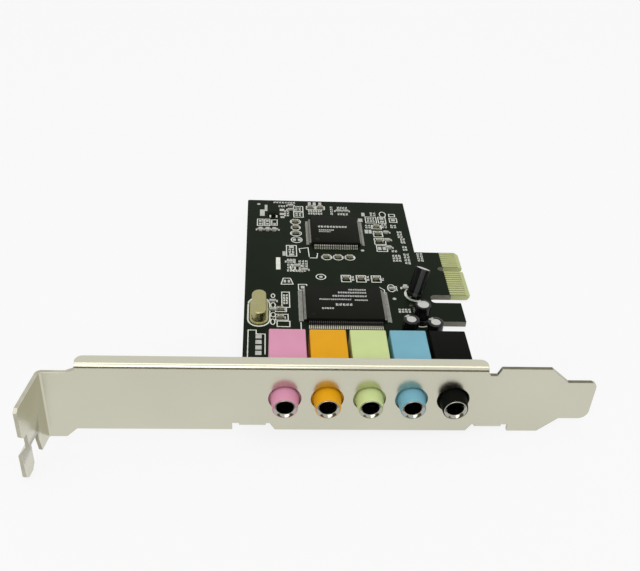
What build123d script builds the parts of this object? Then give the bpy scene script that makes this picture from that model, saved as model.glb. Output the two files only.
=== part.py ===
from build123d import *
from math import atan2, cos, degrees, hypot, radians, sin, sqrt
import os

# Frame: X = 0 at the finger tips, Y = 0 at the key notch, Z = 0 halfway through the board

# Edge connector
contact_pitch = 1.0
contact_width = 0.7
contact_length = 4.4
contact_thickness = 0.05
contact_margin = 0.65
key_to_contact = 1.5
near_contacts = 11
far_contacts = 7
key_width = 1.9
key_depth = 7.0
bevel_length = 1.1
bevel_depth = 0.35
finger_corner = 0.7

# Circuit board
board_thickness = 1.57
board_height = 47.7
finger_reach = 12.4
key_to_far_edge = 35.2
plate_to_key = 59.05
board_setback = 1.8
board_corner = 0.6
blank_gap = 3.4
blank_width = 7.95
blank_setback = 3.2
blank_root = 11.0
heel_gap = 4.5
heel_root = 10.0
heel_setback = 8.4
foot_margin = 3.98
foot_depth = 11.2
slot_radius = 1.2

# Bracket, measured from the screw tab's outer face at one end and past the last jack at the other
sheet = 0.86
bend_radius = 0.5
bracket_length = 120.02
bracket_width = 18.42
flange_start = 8.1
flange_past_jack = 6.71
flange_depth = 3.1
flange_corner = 1.6
end_notch_width = 2.75
end_notch_slope = 0.8
end_notch_drop = 0.6
end_notch_root = 0.5
neck_drop = 2.4
neck_low_length = 4.7
neck_top_length = 6.1
neck_slope = 2.2
shoulder_past_tab = 11.4
shoulder_slope = 4.25
tongue_length = 6.5
tongue_width = 10.7
tongue_offset = 4.0
tongue_top_radius = 1.5
tongue_low_radius = 2.2

# Screw tab and its joggled ear
screw_tab_depth = 11.43
screw_tab_lean = 10.0
screw_tab_corner = 0.8
screw_edge_length = 8.2
screw_step_drop = 0.5
screw_step_length = 2.2
ear_start = 4.4
ear_width = 4.5
ear_root_height = 6.0
ear_joggle = 2.0
ear_joggle_drop = 3.0
ear_length = 7.6
ear_tip_corner = 1.2
prong_length = 3.7
prong_notch_rise = 4.0

# Board tabs, screws and their holes
board_tab_width = 5.9
board_tab_depth = 9.6
board_tab_recess = 0.57
relief_inner = 2.0
relief_root = 0.8
relief_outer = 1.5
screw_setback = 6.3
screw_radius = 1.25
screw_head_radius = 2.3
screw_head_height = 1.5
screw_overrun = 0.3
screw_clearance = 0.1
first_screw_gap = 1.065
last_screw_gap = 1.885

# Audio jacks, the first one measured from the board's upper edge; each block stands to one side of its barrel
jack_colours = ("pink", "orange", "green", "blue", "black")
first_jack = 9.61
jack_pitch = 9.2
jack_block_shift = 0.65
jack_width = 8.35
jack_depth = 16.1
jack_height = 12.0
jack_axis_height = 6.34
jack_wall = 0.8
jack_face_gap = 0.1
jack_edge = 0.25
barrel_side_count = 20
barrel_root_radius = 3.25
barrel_tip_radius = 2.75
barrel_reach = 3.2
barrel_clearance = 0.3
bushing_radius = 2.5
bushing_bore_radius = 1.8
bushing_lip = 0.15
bushing_depth = 4.0
bushing_clearance = 0.03

# Jack contact springs, each a strip with one leg through the board
spring_thickness = 0.3
spring_width = 0.8
spring_side_offset = 2.6
spring_top_offset = 2.4
spring_front_gap = 0.6
leg_overrun = 0.9
leg_clearance = 0.1
side_leg_setbacks = (3.4, 6.4)
top_leg_setback = 1.9

# Flat chips with gull-wing leads; places on the board are measured from its upper edge and the key
chip_draft = 8.0
chip_upper = 0.75
chip_lower = 0.65
chip_standoff = 0.1
lead_thickness = 0.15
lead_foot = 0.6
audio_chip_length = 20.0
audio_chip_width = 14.0
audio_chip_reach = 1.6
audio_lead_pitch = 0.8
audio_lead_width = 0.35
audio_leads_long = 24
audio_leads_short = 16
audio_chip_place = (25.8, -17.8)
bridge_chip_length = 14.0
bridge_chip_width = 14.0
bridge_chip_reach = 1.1
bridge_lead_pitch = 1.0
bridge_lead_width = 0.4
bridge_leads_side = 13
bridge_chip_place = (25.4, 17.1)

# Crystal
crystal_place = (3.8, -20.4)
crystal_can_length = 10.2
crystal_can_width = 3.7
crystal_base_length = 11.05
crystal_base_width = 4.65
crystal_base_height = 0.45
crystal_height = 3.5
crystal_edge = 0.5
crystal_lead_spacing = 4.88

# Radial capacitors, and the leads that they and the crystal have
wire_side_count = 6
wire_radius = 0.25
wire_clearance = 0.1
wire_overrun = 0.6
small_can_radius = 2.0
small_can_height = 5.4
small_lead_spacing = 1.5
small_can_places = ((45.1, -23.3), (41.3, -29.4), (47.2, -30.4))
# The large one leans: the shares of its axis along X and Y
large_can_radius = 2.0
large_can_height = 7.8
large_can_lean = (0.284, 0.385)
large_can_press = 0.1
large_lead_spacing = 1.5
large_lead_rise = 2.2
large_can_place = (44.4, -13.85)

# Chip capacitors and resistors: first place in the row, count and step
chip_part_length = 1.6
chip_part_width = 0.8
capacitor_height = 0.8
resistor_height = 0.45
capacitor_rows = (
    ((27.1, -5.4), 3, (4.1, 0.0)),
    ((22.3, 4.8), 3, (3.3, 0.0)),
    ((14.1, 23.0), 3, (0.0, -3.1)),
    ((38.0, 21.1), 3, (0.0, -3.9)),
    ((9.3, -19.4), 2, (0.0, -3.4)),
    ((18.9, 31.2), 2, (2.9, 0.0)),
)
resistor_rows = (
    ((12.1, 2.2), 3, (2.0, -1.9)),
    ((12.9, 32.2), 2, (0.0, -2.4)),
    ((27.4, 29.6), 2, (2.1, 0.0)),
    ((40.6, 18.1), 3, (0.0, -4.0)),
    ((3.9, 18.4), 3, (2.1, 0.0)),
    ((7.3, -15.9), 2, (0.0, -3.6)),
    ((39.3, -9.7), 2, (3.6, 0.4)),
)

# Three-lead regulator
regulator_place = (7.7, 26.4)
regulator_length = 3.0
regulator_width = 1.6
regulator_height = 1.1
regulator_reach = 0.7
regulator_lead_foot = 0.3
regulator_lead_width = 0.45
regulator_lead_pitch = 0.95

# Places worked out from the sizes above
board_top = board_thickness / 2
board_bottom = -board_thickness / 2
lower_x = -finger_reach
upper_x = lower_x - board_height
plate_front = -plate_to_key
plate_back = plate_front + sheet
near_y = plate_front + board_setback
far_y = key_to_far_edge
near_tab_end = -(key_to_contact + (near_contacts - 1) * contact_pitch + contact_margin)
far_tab_end = key_to_contact + (far_contacts - 1) * contact_pitch + contact_margin
blank_far = near_tab_end - blank_gap
blank_near = blank_far - blank_width
heel_far = blank_near - heel_gap
foot_far = near_y + foot_depth
bend_outer = bend_radius + sheet
plate_low = board_bottom - sheet - board_tab_recess
plate_top = plate_low + bracket_width
screw_y = near_y + screw_setback
jack_front = plate_back + jack_face_gap
jack_back = jack_front + jack_depth
jack_axis = board_top + jack_axis_height
jack_places = [upper_x + first_jack + index * jack_pitch for index in range(len(jack_colours))]
block_places = [jack_x + jack_block_shift for jack_x in jack_places]
screw_offset = jack_width / 2 + screw_head_radius
board_tab_places = (
    block_places[0] - screw_offset - first_screw_gap,
    block_places[-1] + screw_offset + last_screw_gap,
)
screw_places = [(tab_x, screw_y) for tab_x in board_tab_places]
foot_end = board_tab_places[-1] + foot_margin
flange_end = jack_places[-1] + flange_past_jack
shoulder_end = board_tab_places[-1] + shoulder_past_tab
tongue_start = shoulder_end + shoulder_slope
tongue_end = tongue_start + tongue_length
bracket_x = tongue_end - bracket_length
spring_front = jack_front + bushing_depth + spring_front_gap
spring_legs = (
    (-spring_side_offset, jack_back - side_leg_setbacks[0]),
    (spring_side_offset, jack_back - side_leg_setbacks[1]),
    (0.0, jack_back - top_leg_setback),
)
spring_rises = (jack_axis, jack_axis, jack_axis + spring_top_offset)


def on_board(place):
    """A place measured from the board's upper edge and the key, in the frame."""
    return (upper_x + place[0], place[1])


def lead_pair(place, spacing, along):
    """Centres of two round leads about a place, spaced along X or Y."""
    half = spacing / 2
    shift = (half, 0.0) if along == "X" else (0.0, half)
    return [(place[0] - shift[0], place[1] - shift[1]), (place[0] + shift[0], place[1] + shift[1])]


crystal_centre = on_board(crystal_place)
small_can_centres = [on_board(place) for place in small_can_places]
large_can_centre = on_board(large_can_place)
regulator_centre = on_board(regulator_place)
crystal_wires = lead_pair(crystal_centre, crystal_lead_spacing, "Y")
small_wires = [wire for centre in small_can_centres for wire in lead_pair(centre, small_lead_spacing, "X")]
large_wires = lead_pair(large_can_centre, large_lead_spacing, "X")


def finish(piece, name):
    """Label one finished piece and write it as its own file."""
    piece.part.label = name
    export_step(piece.part, f"parts/{name}.step")


def make_board():
    """Board with its finger tabs, key notch, blank tab, foot and lead holes."""
    with BuildPart() as board:
        with BuildSketch(Plane.XY.offset(board_bottom)) as outline:
            with BuildLine():
                Polyline(
                    (upper_x, near_y),
                    (foot_end, near_y),
                    (foot_end, foot_far),
                    (-heel_setback, foot_far),
                    (-heel_setback, blank_near),
                    (-blank_setback, blank_near),
                    (-blank_setback, near_tab_end),
                    (0, near_tab_end),
                    (0, far_tab_end),
                    (lower_x, far_tab_end),
                    (lower_x, far_y),
                    (upper_x, far_y),
                    close=True,
                )
            make_face()
            upper_corners = outline.vertices().group_by(Axis.X)[0]
            fillet(upper_corners, board_corner)
            tips = outline.vertices().group_by(Axis.X)[-1]
            chamfer(tips, finger_corner)
            # Slots on both sides of the blank tab, with routed corners at their roots
            for root, far, width in ((blank_root, near_tab_end, blank_gap), (heel_root, blank_near, heel_gap)):
                with Locations(((slot_radius - root) / 2, far - width / 2)):
                    RectangleRounded(root + slot_radius, width, slot_radius, mode=Mode.SUBTRACT)
            # Key notch with a round end
            key_straight = key_depth - key_width / 2
            with Locations((-key_straight / 2, 0)):
                Rectangle(key_straight, key_width, mode=Mode.SUBTRACT)
            with Locations((-key_straight, 0)):
                Circle(key_width / 2, mode=Mode.SUBTRACT)
        extrude(amount=board_thickness)
        # Bevelled finger tips on both faces
        with BuildSketch(Plane.XZ.offset(-far_tab_end)):
            for face in (board_top, board_bottom):
                inward = bevel_depth if face < 0 else -bevel_depth
                with BuildLine():
                    Polyline((0, face), (-bevel_length, face), (0, face + inward), close=True)
                make_face()
        extrude(amount=far_tab_end - near_tab_end, mode=Mode.SUBTRACT)
        # Holes for screws, wire leads and spring legs
        with BuildSketch(Plane.XY.offset(board_top)):
            with Locations(*screw_places):
                Circle(screw_radius + screw_clearance)
            with Locations(*crystal_wires, *small_wires, *large_wires):
                RegularPolygon(wire_radius + wire_clearance, wire_side_count)
            for block_x in block_places:
                with Locations(*[(block_x + side, leg_y) for side, leg_y in spring_legs]):
                    Rectangle(spring_thickness + 2 * leg_clearance, spring_width + 2 * leg_clearance)
        extrude(amount=-board_thickness, mode=Mode.SUBTRACT)
    return board


def make_contacts(face, outward):
    """Gold contacts of one face, set from the key notch to both sides."""
    near_span = (near_contacts - 1) * contact_pitch / 2
    far_span = (far_contacts - 1) * contact_pitch / 2
    with BuildPart() as contacts:
        with BuildSketch(Plane.XY.offset(face)):
            pad_x = -bevel_length - contact_length / 2
            with Locations((pad_x, -key_to_contact - near_span)):
                with GridLocations(0, contact_pitch, 1, near_contacts):
                    Rectangle(contact_length, contact_width)
            with Locations((pad_x, key_to_contact + far_span)):
                with GridLocations(0, contact_pitch, 1, far_contacts):
                    Rectangle(contact_length, contact_width)
        extrude(amount=outward * contact_thickness)
    return contacts


def make_bracket():
    """Folded sheet: plate, flange, screw tab with its ear, board tabs and tongue."""
    tab_low = plate_low - neck_drop
    tab_top = plate_top - neck_slope
    flange_fold = plate_top - bend_outer
    board_fold = plate_low + board_tab_recess + bend_outer
    tongue_low = plate_low + tongue_offset
    tongue_top = tongue_low + tongue_width
    neck_end = neck_low_length + neck_drop
    notch_end = flange_end + end_notch_width
    with BuildPart() as bracket:
        # Plate
        with BuildSketch(Plane.XZ.offset(-plate_back)) as outline:
            with BuildLine():
                Polyline(
                    (bracket_x + bend_outer, tab_low),
                    (bracket_x + neck_low_length, tab_low),
                    (bracket_x + neck_end, plate_low),
                    (shoulder_end, plate_low),
                    (tongue_start, tongue_low),
                    (tongue_end, tongue_low),
                    (tongue_end, tongue_top),
                    (tongue_start, tongue_top),
                    (shoulder_end, plate_top),
                    (notch_end, plate_top),
                    (notch_end - end_notch_slope, flange_fold - end_notch_drop),
                    (flange_end + end_notch_root, flange_fold - end_notch_drop),
                    (flange_end, flange_fold),
                    (bracket_x + flange_start, flange_fold),
                    (bracket_x + neck_top_length, tab_top),
                    (bracket_x + bend_outer, tab_top),
                    close=True,
                )
            make_face()
            fillet(outline.vertices().group_by(Axis.X)[-1].sort_by(Axis.Y)[0], tongue_low_radius)
            fillet(outline.vertices().group_by(Axis.X)[-1].sort_by(Axis.Y)[-1], tongue_top_radius)
            # Recesses where the board tabs fold back
            for tab_x, inner_side in zip(board_tab_places, (1, -1)):
                half = board_tab_width / 2
                inner_x = tab_x + inner_side * half
                outer_x = tab_x - inner_side * half
                with BuildLine():
                    Polyline(
                        (inner_x + inner_side * relief_inner, plate_low),
                        (inner_x + inner_side * relief_root, board_fold),
                        (outer_x - inner_side * relief_outer, board_fold),
                        (outer_x - inner_side * relief_outer, plate_low),
                        close=True,
                    )
                make_face(mode=Mode.SUBTRACT)
        extrude(amount=sheet)
        # Leaves that fold back from the plate: the long flange upwards, the two board tabs downwards
        flange_x = bracket_x + flange_start
        folds = [(flange_x, flange_end - flange_x, flange_fold, 1, flange_depth)]
        for tab_x in board_tab_places:
            folds.append((tab_x - board_tab_width / 2, board_tab_width, board_fold, -1, board_tab_depth))
        fold_y = plate_front + bend_outer
        for start, length, fold_z, turn, depth in folds:
            outer_z = fold_z + turn * bend_outer
            inner_z = fold_z + turn * bend_radius
            leaf_end = plate_front + depth
            with BuildSketch(Plane.YZ.offset(start)):
                with BuildLine():
                    RadiusArc((plate_front, fold_z), (fold_y, outer_z), turn * bend_outer)
                    Polyline((fold_y, outer_z), (leaf_end, outer_z), (leaf_end, inner_z), (fold_y, inner_z))
                    RadiusArc((fold_y, inner_z), (plate_back, fold_z), -turn * bend_radius)
                    Line((plate_back, fold_z), (plate_front, fold_z))
                make_face()
            extrude(amount=length)
        flange_edges = bracket.edges().filter_by(Axis.Z).filter_by_position(Axis.Z, flange_fold, plate_top)
        fillet(flange_edges.group_by(Axis.Y)[-1], flange_corner)
        # Screw tab: its bend, its leaf and the ear that steps outwards
        bend_turn = 90.0 - screw_tab_lean
        bend_x = bracket_x + bend_outer
        bend_y = plate_front - bend_radius
        reach = Vector(-sin(radians(screw_tab_lean)), -cos(radians(screw_tab_lean)), 0)
        outward = Vector(-cos(radians(screw_tab_lean)), sin(radians(screw_tab_lean)), 0)
        with BuildSketch(Plane.XY.offset(tab_low)):
            with BuildLine(Plane.XY.offset(tab_low)):
                outer = CenterArc((bend_x, bend_y), bend_outer, 90, bend_turn)
                inner = CenterArc((bend_x, bend_y), bend_radius, 90, bend_turn)
                Line(outer @ 0, inner @ 0)
                Line(outer @ 1, inner @ 1)
            make_face()
        extrude(amount=tab_top - tab_low)
        leaf_start = Vector(bend_x, bend_y, 0) + outward * bend_radius
        leaf_length = (screw_tab_depth - bend_radius) / cos(radians(screw_tab_lean))
        leaf_plane = Plane(origin=leaf_start, x_dir=reach, z_dir=outward)
        edge_low = tab_top - screw_edge_length
        step_in = leaf_length - screw_step_length
        ear_root = tab_low + ear_root_height
        ear_end = ear_start + ear_width
        with BuildSketch(leaf_plane) as leaf:
            with BuildLine():
                Polyline(
                    (0, tab_low),
                    (prong_length, tab_low),
                    (ear_start, tab_low + prong_notch_rise),
                    (ear_start, ear_root),
                    (ear_end, ear_root),
                    (step_in, edge_low - screw_step_drop),
                    (leaf_length, edge_low),
                    (leaf_length, tab_top),
                    (0, tab_top),
                    close=True,
                )
            make_face()
            chamfer(leaf.vertices().group_by(Axis.X)[-1], screw_tab_corner)
        extrude(amount=sheet)
        ear_plane = Plane(origin=leaf_start + reach * ear_start, x_dir=outward, z_dir=-reach)
        joggle_low = ear_root - ear_joggle_drop
        ear_low = joggle_low - ear_length
        with BuildSketch(ear_plane):
            with BuildLine():
                Polyline(
                    (0, ear_root),
                    (sheet, ear_root),
                    (sheet + ear_joggle, joggle_low),
                    (sheet + ear_joggle, ear_low),
                    (ear_joggle, ear_low),
                    (ear_joggle, joggle_low),
                    close=True,
                )
            make_face()
        extrude(amount=-ear_width)
        ear_tip = bracket.faces().sort_by(Axis.Z)[0].edges().sort_by(Axis.Y)
        chamfer([ear_tip[0], ear_tip[-1]], ear_tip_corner)
        # Jack openings in the plate and threaded holes in the board tabs
        with Locations(Plane.XZ.offset(-plate_front)):
            with Locations(*[(jack_x, jack_axis) for jack_x in jack_places]):
                Hole(barrel_root_radius + barrel_clearance, depth=2 * sheet)
        with Locations(Plane.XY.offset(board_bottom)):
            with Locations(*screw_places):
                Hole(screw_radius + screw_clearance, depth=2 * sheet)
    return bracket


def make_screws():
    """Two pan-head screws that hold the board to the board tabs."""
    shank = board_thickness + sheet + screw_overrun
    with BuildPart() as screws:
        with BuildSketch(Plane.XY.offset(board_top)):
            with Locations(*screw_places):
                Circle(screw_head_radius)
        extrude(amount=screw_head_height)
        with BuildSketch(Plane.XY.offset(board_top)):
            with Locations(*screw_places):
                Circle(screw_radius)
        extrude(amount=-shank)
    return screws


def make_jack_housing(jack_x):
    """Moulded jack block, open below, with a tapered barrel through the plate."""
    barrel_length = jack_front - plate_front + barrel_reach
    barrel_taper = degrees(atan2(barrel_root_radius - barrel_tip_radius, barrel_length))
    block_x = jack_x + jack_block_shift
    block_y = (jack_front + jack_back) / 2
    with BuildPart() as housing:
        with BuildSketch(Plane.XY.offset(board_top)):
            with Locations((block_x, block_y)):
                Rectangle(jack_width, jack_depth)
        extrude(amount=jack_height)
        chamfer(housing.faces().sort_by(Axis.Z)[-1].edges(), jack_edge)
        with BuildSketch(Plane.XY.offset(board_top)):
            with Locations((block_x, block_y)):
                Rectangle(jack_width - 2 * jack_wall, jack_depth - 2 * jack_wall)
        extrude(amount=jack_height - jack_wall, mode=Mode.SUBTRACT)
        # Many-sided barrel and the bushing's seat through it
        with BuildSketch(Plane.XZ.offset(-jack_front)):
            with Locations((jack_x, jack_axis)):
                RegularPolygon(barrel_root_radius, barrel_side_count, major_radius=False)
        extrude(amount=barrel_length, taper=barrel_taper)
        with BuildSketch(Plane.XZ.offset(-jack_front - jack_wall)):
            with Locations((jack_x, jack_axis)):
                RegularPolygon(bushing_radius + bushing_clearance, barrel_side_count, major_radius=False)
        extrude(amount=barrel_length + jack_wall, mode=Mode.SUBTRACT)
    return housing


def make_jack_bushing(jack_x):
    """Metal sleeve that lines the barrel and takes the plug."""
    bushing_front = plate_front - barrel_reach - bushing_lip
    bushing_length = jack_front + bushing_depth - bushing_front
    with BuildPart() as bushing:
        with BuildSketch(Plane.XZ.offset(-bushing_front)):
            with Locations((jack_x, jack_axis)):
                RegularPolygon(bushing_radius, barrel_side_count, major_radius=False)
                Circle(bushing_bore_radius, mode=Mode.SUBTRACT)
        extrude(amount=-bushing_length)
    return bushing


def make_jack_springs(block_x):
    """Three contact strips, each with an arm beside the plug and a leg through the board."""
    leg_end = board_bottom - leg_overrun
    half = spring_width / 2
    with BuildPart() as springs:
        for (side, leg_y), rise in zip(spring_legs, spring_rises):
            with BuildSketch(Plane.YZ.offset(block_x + side - spring_thickness / 2)):
                with BuildLine():
                    Polyline(
                        (leg_y - half, leg_end),
                        (leg_y + half, leg_end),
                        (leg_y + half, rise + half),
                        (spring_front, rise + half),
                        (spring_front, rise - half),
                        (leg_y - half, rise - half),
                        close=True,
                    )
                make_face()
            extrude(amount=spring_thickness)
    return springs


def make_chip_body(centre, length, width):
    """Moulded chip body with draft above and below its parting line."""
    with BuildPart() as body:
        with BuildSketch(Plane.XY.offset(board_top + chip_standoff + chip_lower)):
            with Locations(centre):
                Rectangle(length, width)
        extrude(amount=chip_upper, taper=chip_draft)
        with BuildSketch(Plane.XY.offset(board_top + chip_standoff + chip_lower)):
            with Locations(centre):
                Rectangle(length, width)
        extrude(amount=-chip_lower, taper=chip_draft)
    return body


def make_gull_lead(reach, foot, width, rise):
    """One gull-wing lead that leaves a body at X = 0 and lands on Z = 0."""
    half = lead_thickness / 2
    knee = reach - foot
    with BuildPart() as lead:
        with BuildSketch(Plane.XZ):
            with BuildLine():
                Polyline(
                    (0, rise - half),
                    (knee - half, 0),
                    (reach, 0),
                    (reach, lead_thickness),
                    (knee + half, lead_thickness),
                    (0, rise + half),
                    close=True,
                )
            make_face()
        extrude(amount=width / 2, both=True)
    return lead


def make_chip_leads(centre, size, counts, pitch, width, reach):
    """Leads along the four sides of a chip, as one group of separate leads."""
    lead = make_gull_lead(reach, lead_foot, width, chip_standoff + chip_lower)
    sides = (
        (size[0] / 2, 0, counts[1], 0),
        (0, size[1] / 2, counts[0], 90),
        (-size[0] / 2, 0, counts[1], 180),
        (0, -size[1] / 2, counts[0], 270),
    )
    with BuildPart() as leads:
        for side_x, side_y, count, turn in sides:
            with Locations(Location((centre[0] + side_x, centre[1] + side_y, board_top), (0, 0, turn))):
                with GridLocations(0, pitch, 1, count):
                    add(lead.part)
    return leads


def make_crystal():
    """Low crystal can, the flanged base under it and two round leads."""
    with BuildPart() as base:
        with BuildSketch(Plane.XY.offset(board_top)):
            with Locations(crystal_centre):
                SlotOverall(crystal_base_length, crystal_base_width, rotation=90)
        extrude(amount=crystal_base_height)
    with BuildPart() as can:
        with BuildSketch(Plane.XY.offset(board_top + crystal_base_height)):
            with Locations(crystal_centre):
                SlotOverall(crystal_can_length, crystal_can_width, rotation=90)
        extrude(amount=crystal_height - crystal_base_height)
        chamfer(can.faces().sort_by(Axis.Z)[-1].edges(), crystal_edge)
    return can, base


def make_wires(places, rise=0.0):
    """Straight thin leads from a height above the board's top face to just below it."""
    with BuildPart() as wires:
        with BuildSketch(Plane.XY.offset(board_top + rise)):
            with Locations(*places):
                RegularPolygon(wire_radius, wire_side_count)
        extrude(amount=-board_thickness - wire_overrun - rise)
    return wires


def make_capacitors(places, radius, height):
    """Upright cans that stand on the board."""
    with BuildPart() as cans:
        with BuildSketch(Plane.XY.offset(board_top)):
            with Locations(*places):
                Circle(radius)
        extrude(amount=height)
    return cans


def make_leaning_capacitor():
    """Can that leans over, flat where its rim rests on the board, and its two leads."""
    tilt = hypot(*large_can_lean)
    axis = Vector(*large_can_lean, sqrt(1 - tilt**2))
    base_z = board_top + large_can_radius * tilt - large_can_press
    with BuildPart() as can:
        with BuildSketch(Plane(origin=(*large_can_centre, base_z), z_dir=axis)):
            Circle(large_can_radius)
        extrude(amount=large_can_height)
        split(bisect_by=Plane.XY.offset(board_top), keep=Keep.TOP)
    with BuildPart() as leads:
        add(make_wires(large_wires, large_lead_rise).part)
        add(can.part, mode=Mode.SUBTRACT)
    return can, leads


def row_places(rows):
    """Every place in a list of rows, each given by its first place, its count and its step."""
    return [
        on_board((first[0] + index * step[0], first[1] + index * step[1]))
        for first, count, step in rows
        for index in range(count)
    ]


def make_chip_parts(rows, height):
    """Small two-ended parts of one kind, as one group of separate solids."""
    with BuildPart() as chip_parts:
        with BuildSketch(Plane.XY.offset(board_top)):
            with Locations(*row_places(rows)):
                Rectangle(chip_part_length, chip_part_width)
        extrude(amount=height)
    return chip_parts


def make_regulator():
    """Small moulded regulator with two leads on one side and one on the other."""
    base = board_top + chip_standoff
    with BuildPart() as body:
        with BuildSketch(Plane.XY.offset(base)):
            with Locations(regulator_centre):
                Rectangle(regulator_length, regulator_width)
        extrude(amount=regulator_height - chip_standoff)
    lead = make_gull_lead(regulator_reach, regulator_lead_foot, regulator_lead_width, regulator_height / 2)
    side = regulator_width / 2
    ends = (
        (-regulator_lead_pitch, -side, 270),
        (regulator_lead_pitch, -side, 270),
        (0, side, 90),
    )
    with BuildPart() as leads:
        for end_x, end_y, turn in ends:
            place = (regulator_centre[0] + end_x, regulator_centre[1] + end_y, board_top)
            with Locations(Location(place, (0, 0, turn))):
                add(lead.part)
    return body, leads


os.makedirs("parts", exist_ok=True)

finish(make_board(), "circuit_board")
finish(make_contacts(board_top, 1), "front_edge_contacts")
finish(make_contacts(board_bottom, -1), "back_edge_contacts")
finish(make_bracket(), "bracket")
finish(make_screws(), "bracket_screws")

for colour, jack_x in zip(jack_colours, jack_places):
    finish(make_jack_housing(jack_x), f"{colour}_jack_housing")
    finish(make_jack_bushing(jack_x), f"{colour}_jack_bushing")
    finish(make_jack_springs(jack_x + jack_block_shift), f"{colour}_jack_springs")

audio_centre = on_board(audio_chip_place)
audio_size = (audio_chip_length, audio_chip_width)
audio_counts = (audio_leads_long, audio_leads_short)
finish(make_chip_body(audio_centre, *audio_size), "audio_chip_body")
finish(
    make_chip_leads(audio_centre, audio_size, audio_counts, audio_lead_pitch, audio_lead_width, audio_chip_reach),
    "audio_chip_leads",
)

bridge_centre = on_board(bridge_chip_place)
bridge_size = (bridge_chip_length, bridge_chip_width)
bridge_counts = (bridge_leads_side, bridge_leads_side)
finish(make_chip_body(bridge_centre, *bridge_size), "bridge_chip_body")
finish(
    make_chip_leads(bridge_centre, bridge_size, bridge_counts, bridge_lead_pitch, bridge_lead_width, bridge_chip_reach),
    "bridge_chip_leads",
)

crystal_can, crystal_base = make_crystal()
finish(crystal_can, "crystal_can")
finish(crystal_base, "crystal_base")
finish(make_wires(crystal_wires), "crystal_leads")

large_can, large_leads = make_leaning_capacitor()
finish(large_can, "large_capacitor")
finish(make_capacitors(small_can_centres, small_can_radius, small_can_height), "small_capacitors")
finish(large_leads, "large_capacitor_leads")
finish(make_wires(small_wires), "small_capacitor_leads")

finish(make_chip_parts(capacitor_rows, capacitor_height), "chip_capacitors")
finish(make_chip_parts(resistor_rows, resistor_height), "chip_resistors")

regulator_body, regulator_leads = make_regulator()
finish(regulator_body, "regulator_body")
finish(regulator_leads, "regulator_leads")
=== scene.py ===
"""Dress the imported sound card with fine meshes, finishes, a studio and a camera.

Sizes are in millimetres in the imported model's frame: +X runs along the bracket towards its tongue,
+Y points away from the bracket and +Z is the component side of the board.
"""

import logging
from dataclasses import dataclass
from enum import Enum
from math import cos, pi, radians, sin, tau

import bmesh
import bpy
import numpy as np
from mathutils import Matrix, Vector
from mathutils.bvhtree import BVHTree


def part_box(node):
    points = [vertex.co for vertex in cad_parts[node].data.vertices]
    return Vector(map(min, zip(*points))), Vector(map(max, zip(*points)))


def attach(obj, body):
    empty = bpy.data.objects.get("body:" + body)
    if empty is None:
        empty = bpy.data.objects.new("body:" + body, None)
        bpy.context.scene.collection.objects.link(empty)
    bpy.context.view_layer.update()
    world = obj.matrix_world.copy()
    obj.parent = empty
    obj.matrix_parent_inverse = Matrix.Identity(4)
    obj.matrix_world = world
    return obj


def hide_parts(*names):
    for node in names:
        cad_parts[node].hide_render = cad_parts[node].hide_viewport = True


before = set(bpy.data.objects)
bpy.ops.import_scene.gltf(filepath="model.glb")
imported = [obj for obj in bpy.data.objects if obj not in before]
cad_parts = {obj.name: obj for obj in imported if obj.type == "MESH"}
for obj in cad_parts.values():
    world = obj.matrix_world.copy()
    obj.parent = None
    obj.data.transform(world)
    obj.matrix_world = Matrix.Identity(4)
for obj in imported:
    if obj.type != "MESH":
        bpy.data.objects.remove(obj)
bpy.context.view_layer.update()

MM = 0.001
BODY = "root"
BOARD_TOP = 0.785
BOARD_BOTTOM = -0.785
PRINT_HEIGHT = 0.02
PAD_HEIGHT = 0.035
# How far print and bare metal are sunk into the board
SUNK = 0.005
# The step from one bar's top to the next, and how many steps there are before they start again
HAIR = 0.0006
HAIR_STEPS = 13
# Numbers that turn a place into a pick between 0 and 1 that looks chosen by chance
PICK_WAVES = (12.9898, 78.233)
PICK_SPREAD = 43758.5453

Socket = bpy.types.NodeSocket
log = logging.getLogger("sound_card")


# Surfaces worked out on grids


@dataclass
class Surface:
    """Points in millimetres and the faces that join them."""

    points: np.ndarray
    faces: list


def signed_volume(surface: Surface) -> float:
    """Six times the volume inside a closed surface, summed over fans of triangles.

    Args:
        surface: closed surface.
    Returns:
        a positive number where the faces point outwards.
    """
    total = 0.0
    for size in set(map(len, surface.faces)):
        index = np.array([face for face in surface.faces if len(face) == size])
        first = surface.points[index[:, 0]]
        for corner in range(1, size - 1):
            second = surface.points[index[:, corner]]
            third = surface.points[index[:, corner + 1]]
            total += float(np.einsum("ij,ij->", first, np.cross(second, third)))
    return total


def face_outwards(surface: Surface) -> Surface:
    """The same closed surface with its faces pointing outwards."""
    if signed_volume(surface) < 0:
        surface.faces = [face[::-1] for face in surface.faces]
    return surface


def loft(rows: np.ndarray, ring: bool = False) -> Surface:
    """Join closed rows of equal length by quads, with a flat cap at each end unless the rows form a ring.

    Args:
        rows: array of shape (rows, columns, 3).
        ring: join the last row to the first.
    Returns:
        closed surface that points outwards.
    """
    stack = np.asarray(rows, float)
    count, columns = stack.shape[:2]
    index = np.arange(count * columns).reshape(count, columns)
    walk = np.vstack([index, index[:1]]) if ring else index
    right = np.roll(walk, -1, axis=1)
    faces = np.stack([walk[:-1], right[:-1], right[1:], walk[1:]], axis=-1).reshape(-1, 4).tolist()
    if not ring:
        faces += [index[0][::-1].tolist(), index[-1].tolist()]
    return face_outwards(Surface(stack.reshape(-1, 3), faces))


def circle_rows(profile: list, columns: int) -> np.ndarray:
    """Turn a profile of (radius, height) about Z: each point becomes a row of columns points.

    Args:
        profile: pairs of radius and height.
        columns: points in each row.
    Returns:
        array of shape (rows, columns, 3).
    """
    angle = tau * (np.arange(columns) + 0.5) / columns
    radius, height = np.asarray(profile, float).T[:, :, None]
    flat = np.broadcast_to(height, (len(profile), columns))
    return np.stack([radius * np.cos(angle), radius * np.sin(angle), flat], axis=-1)


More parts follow.
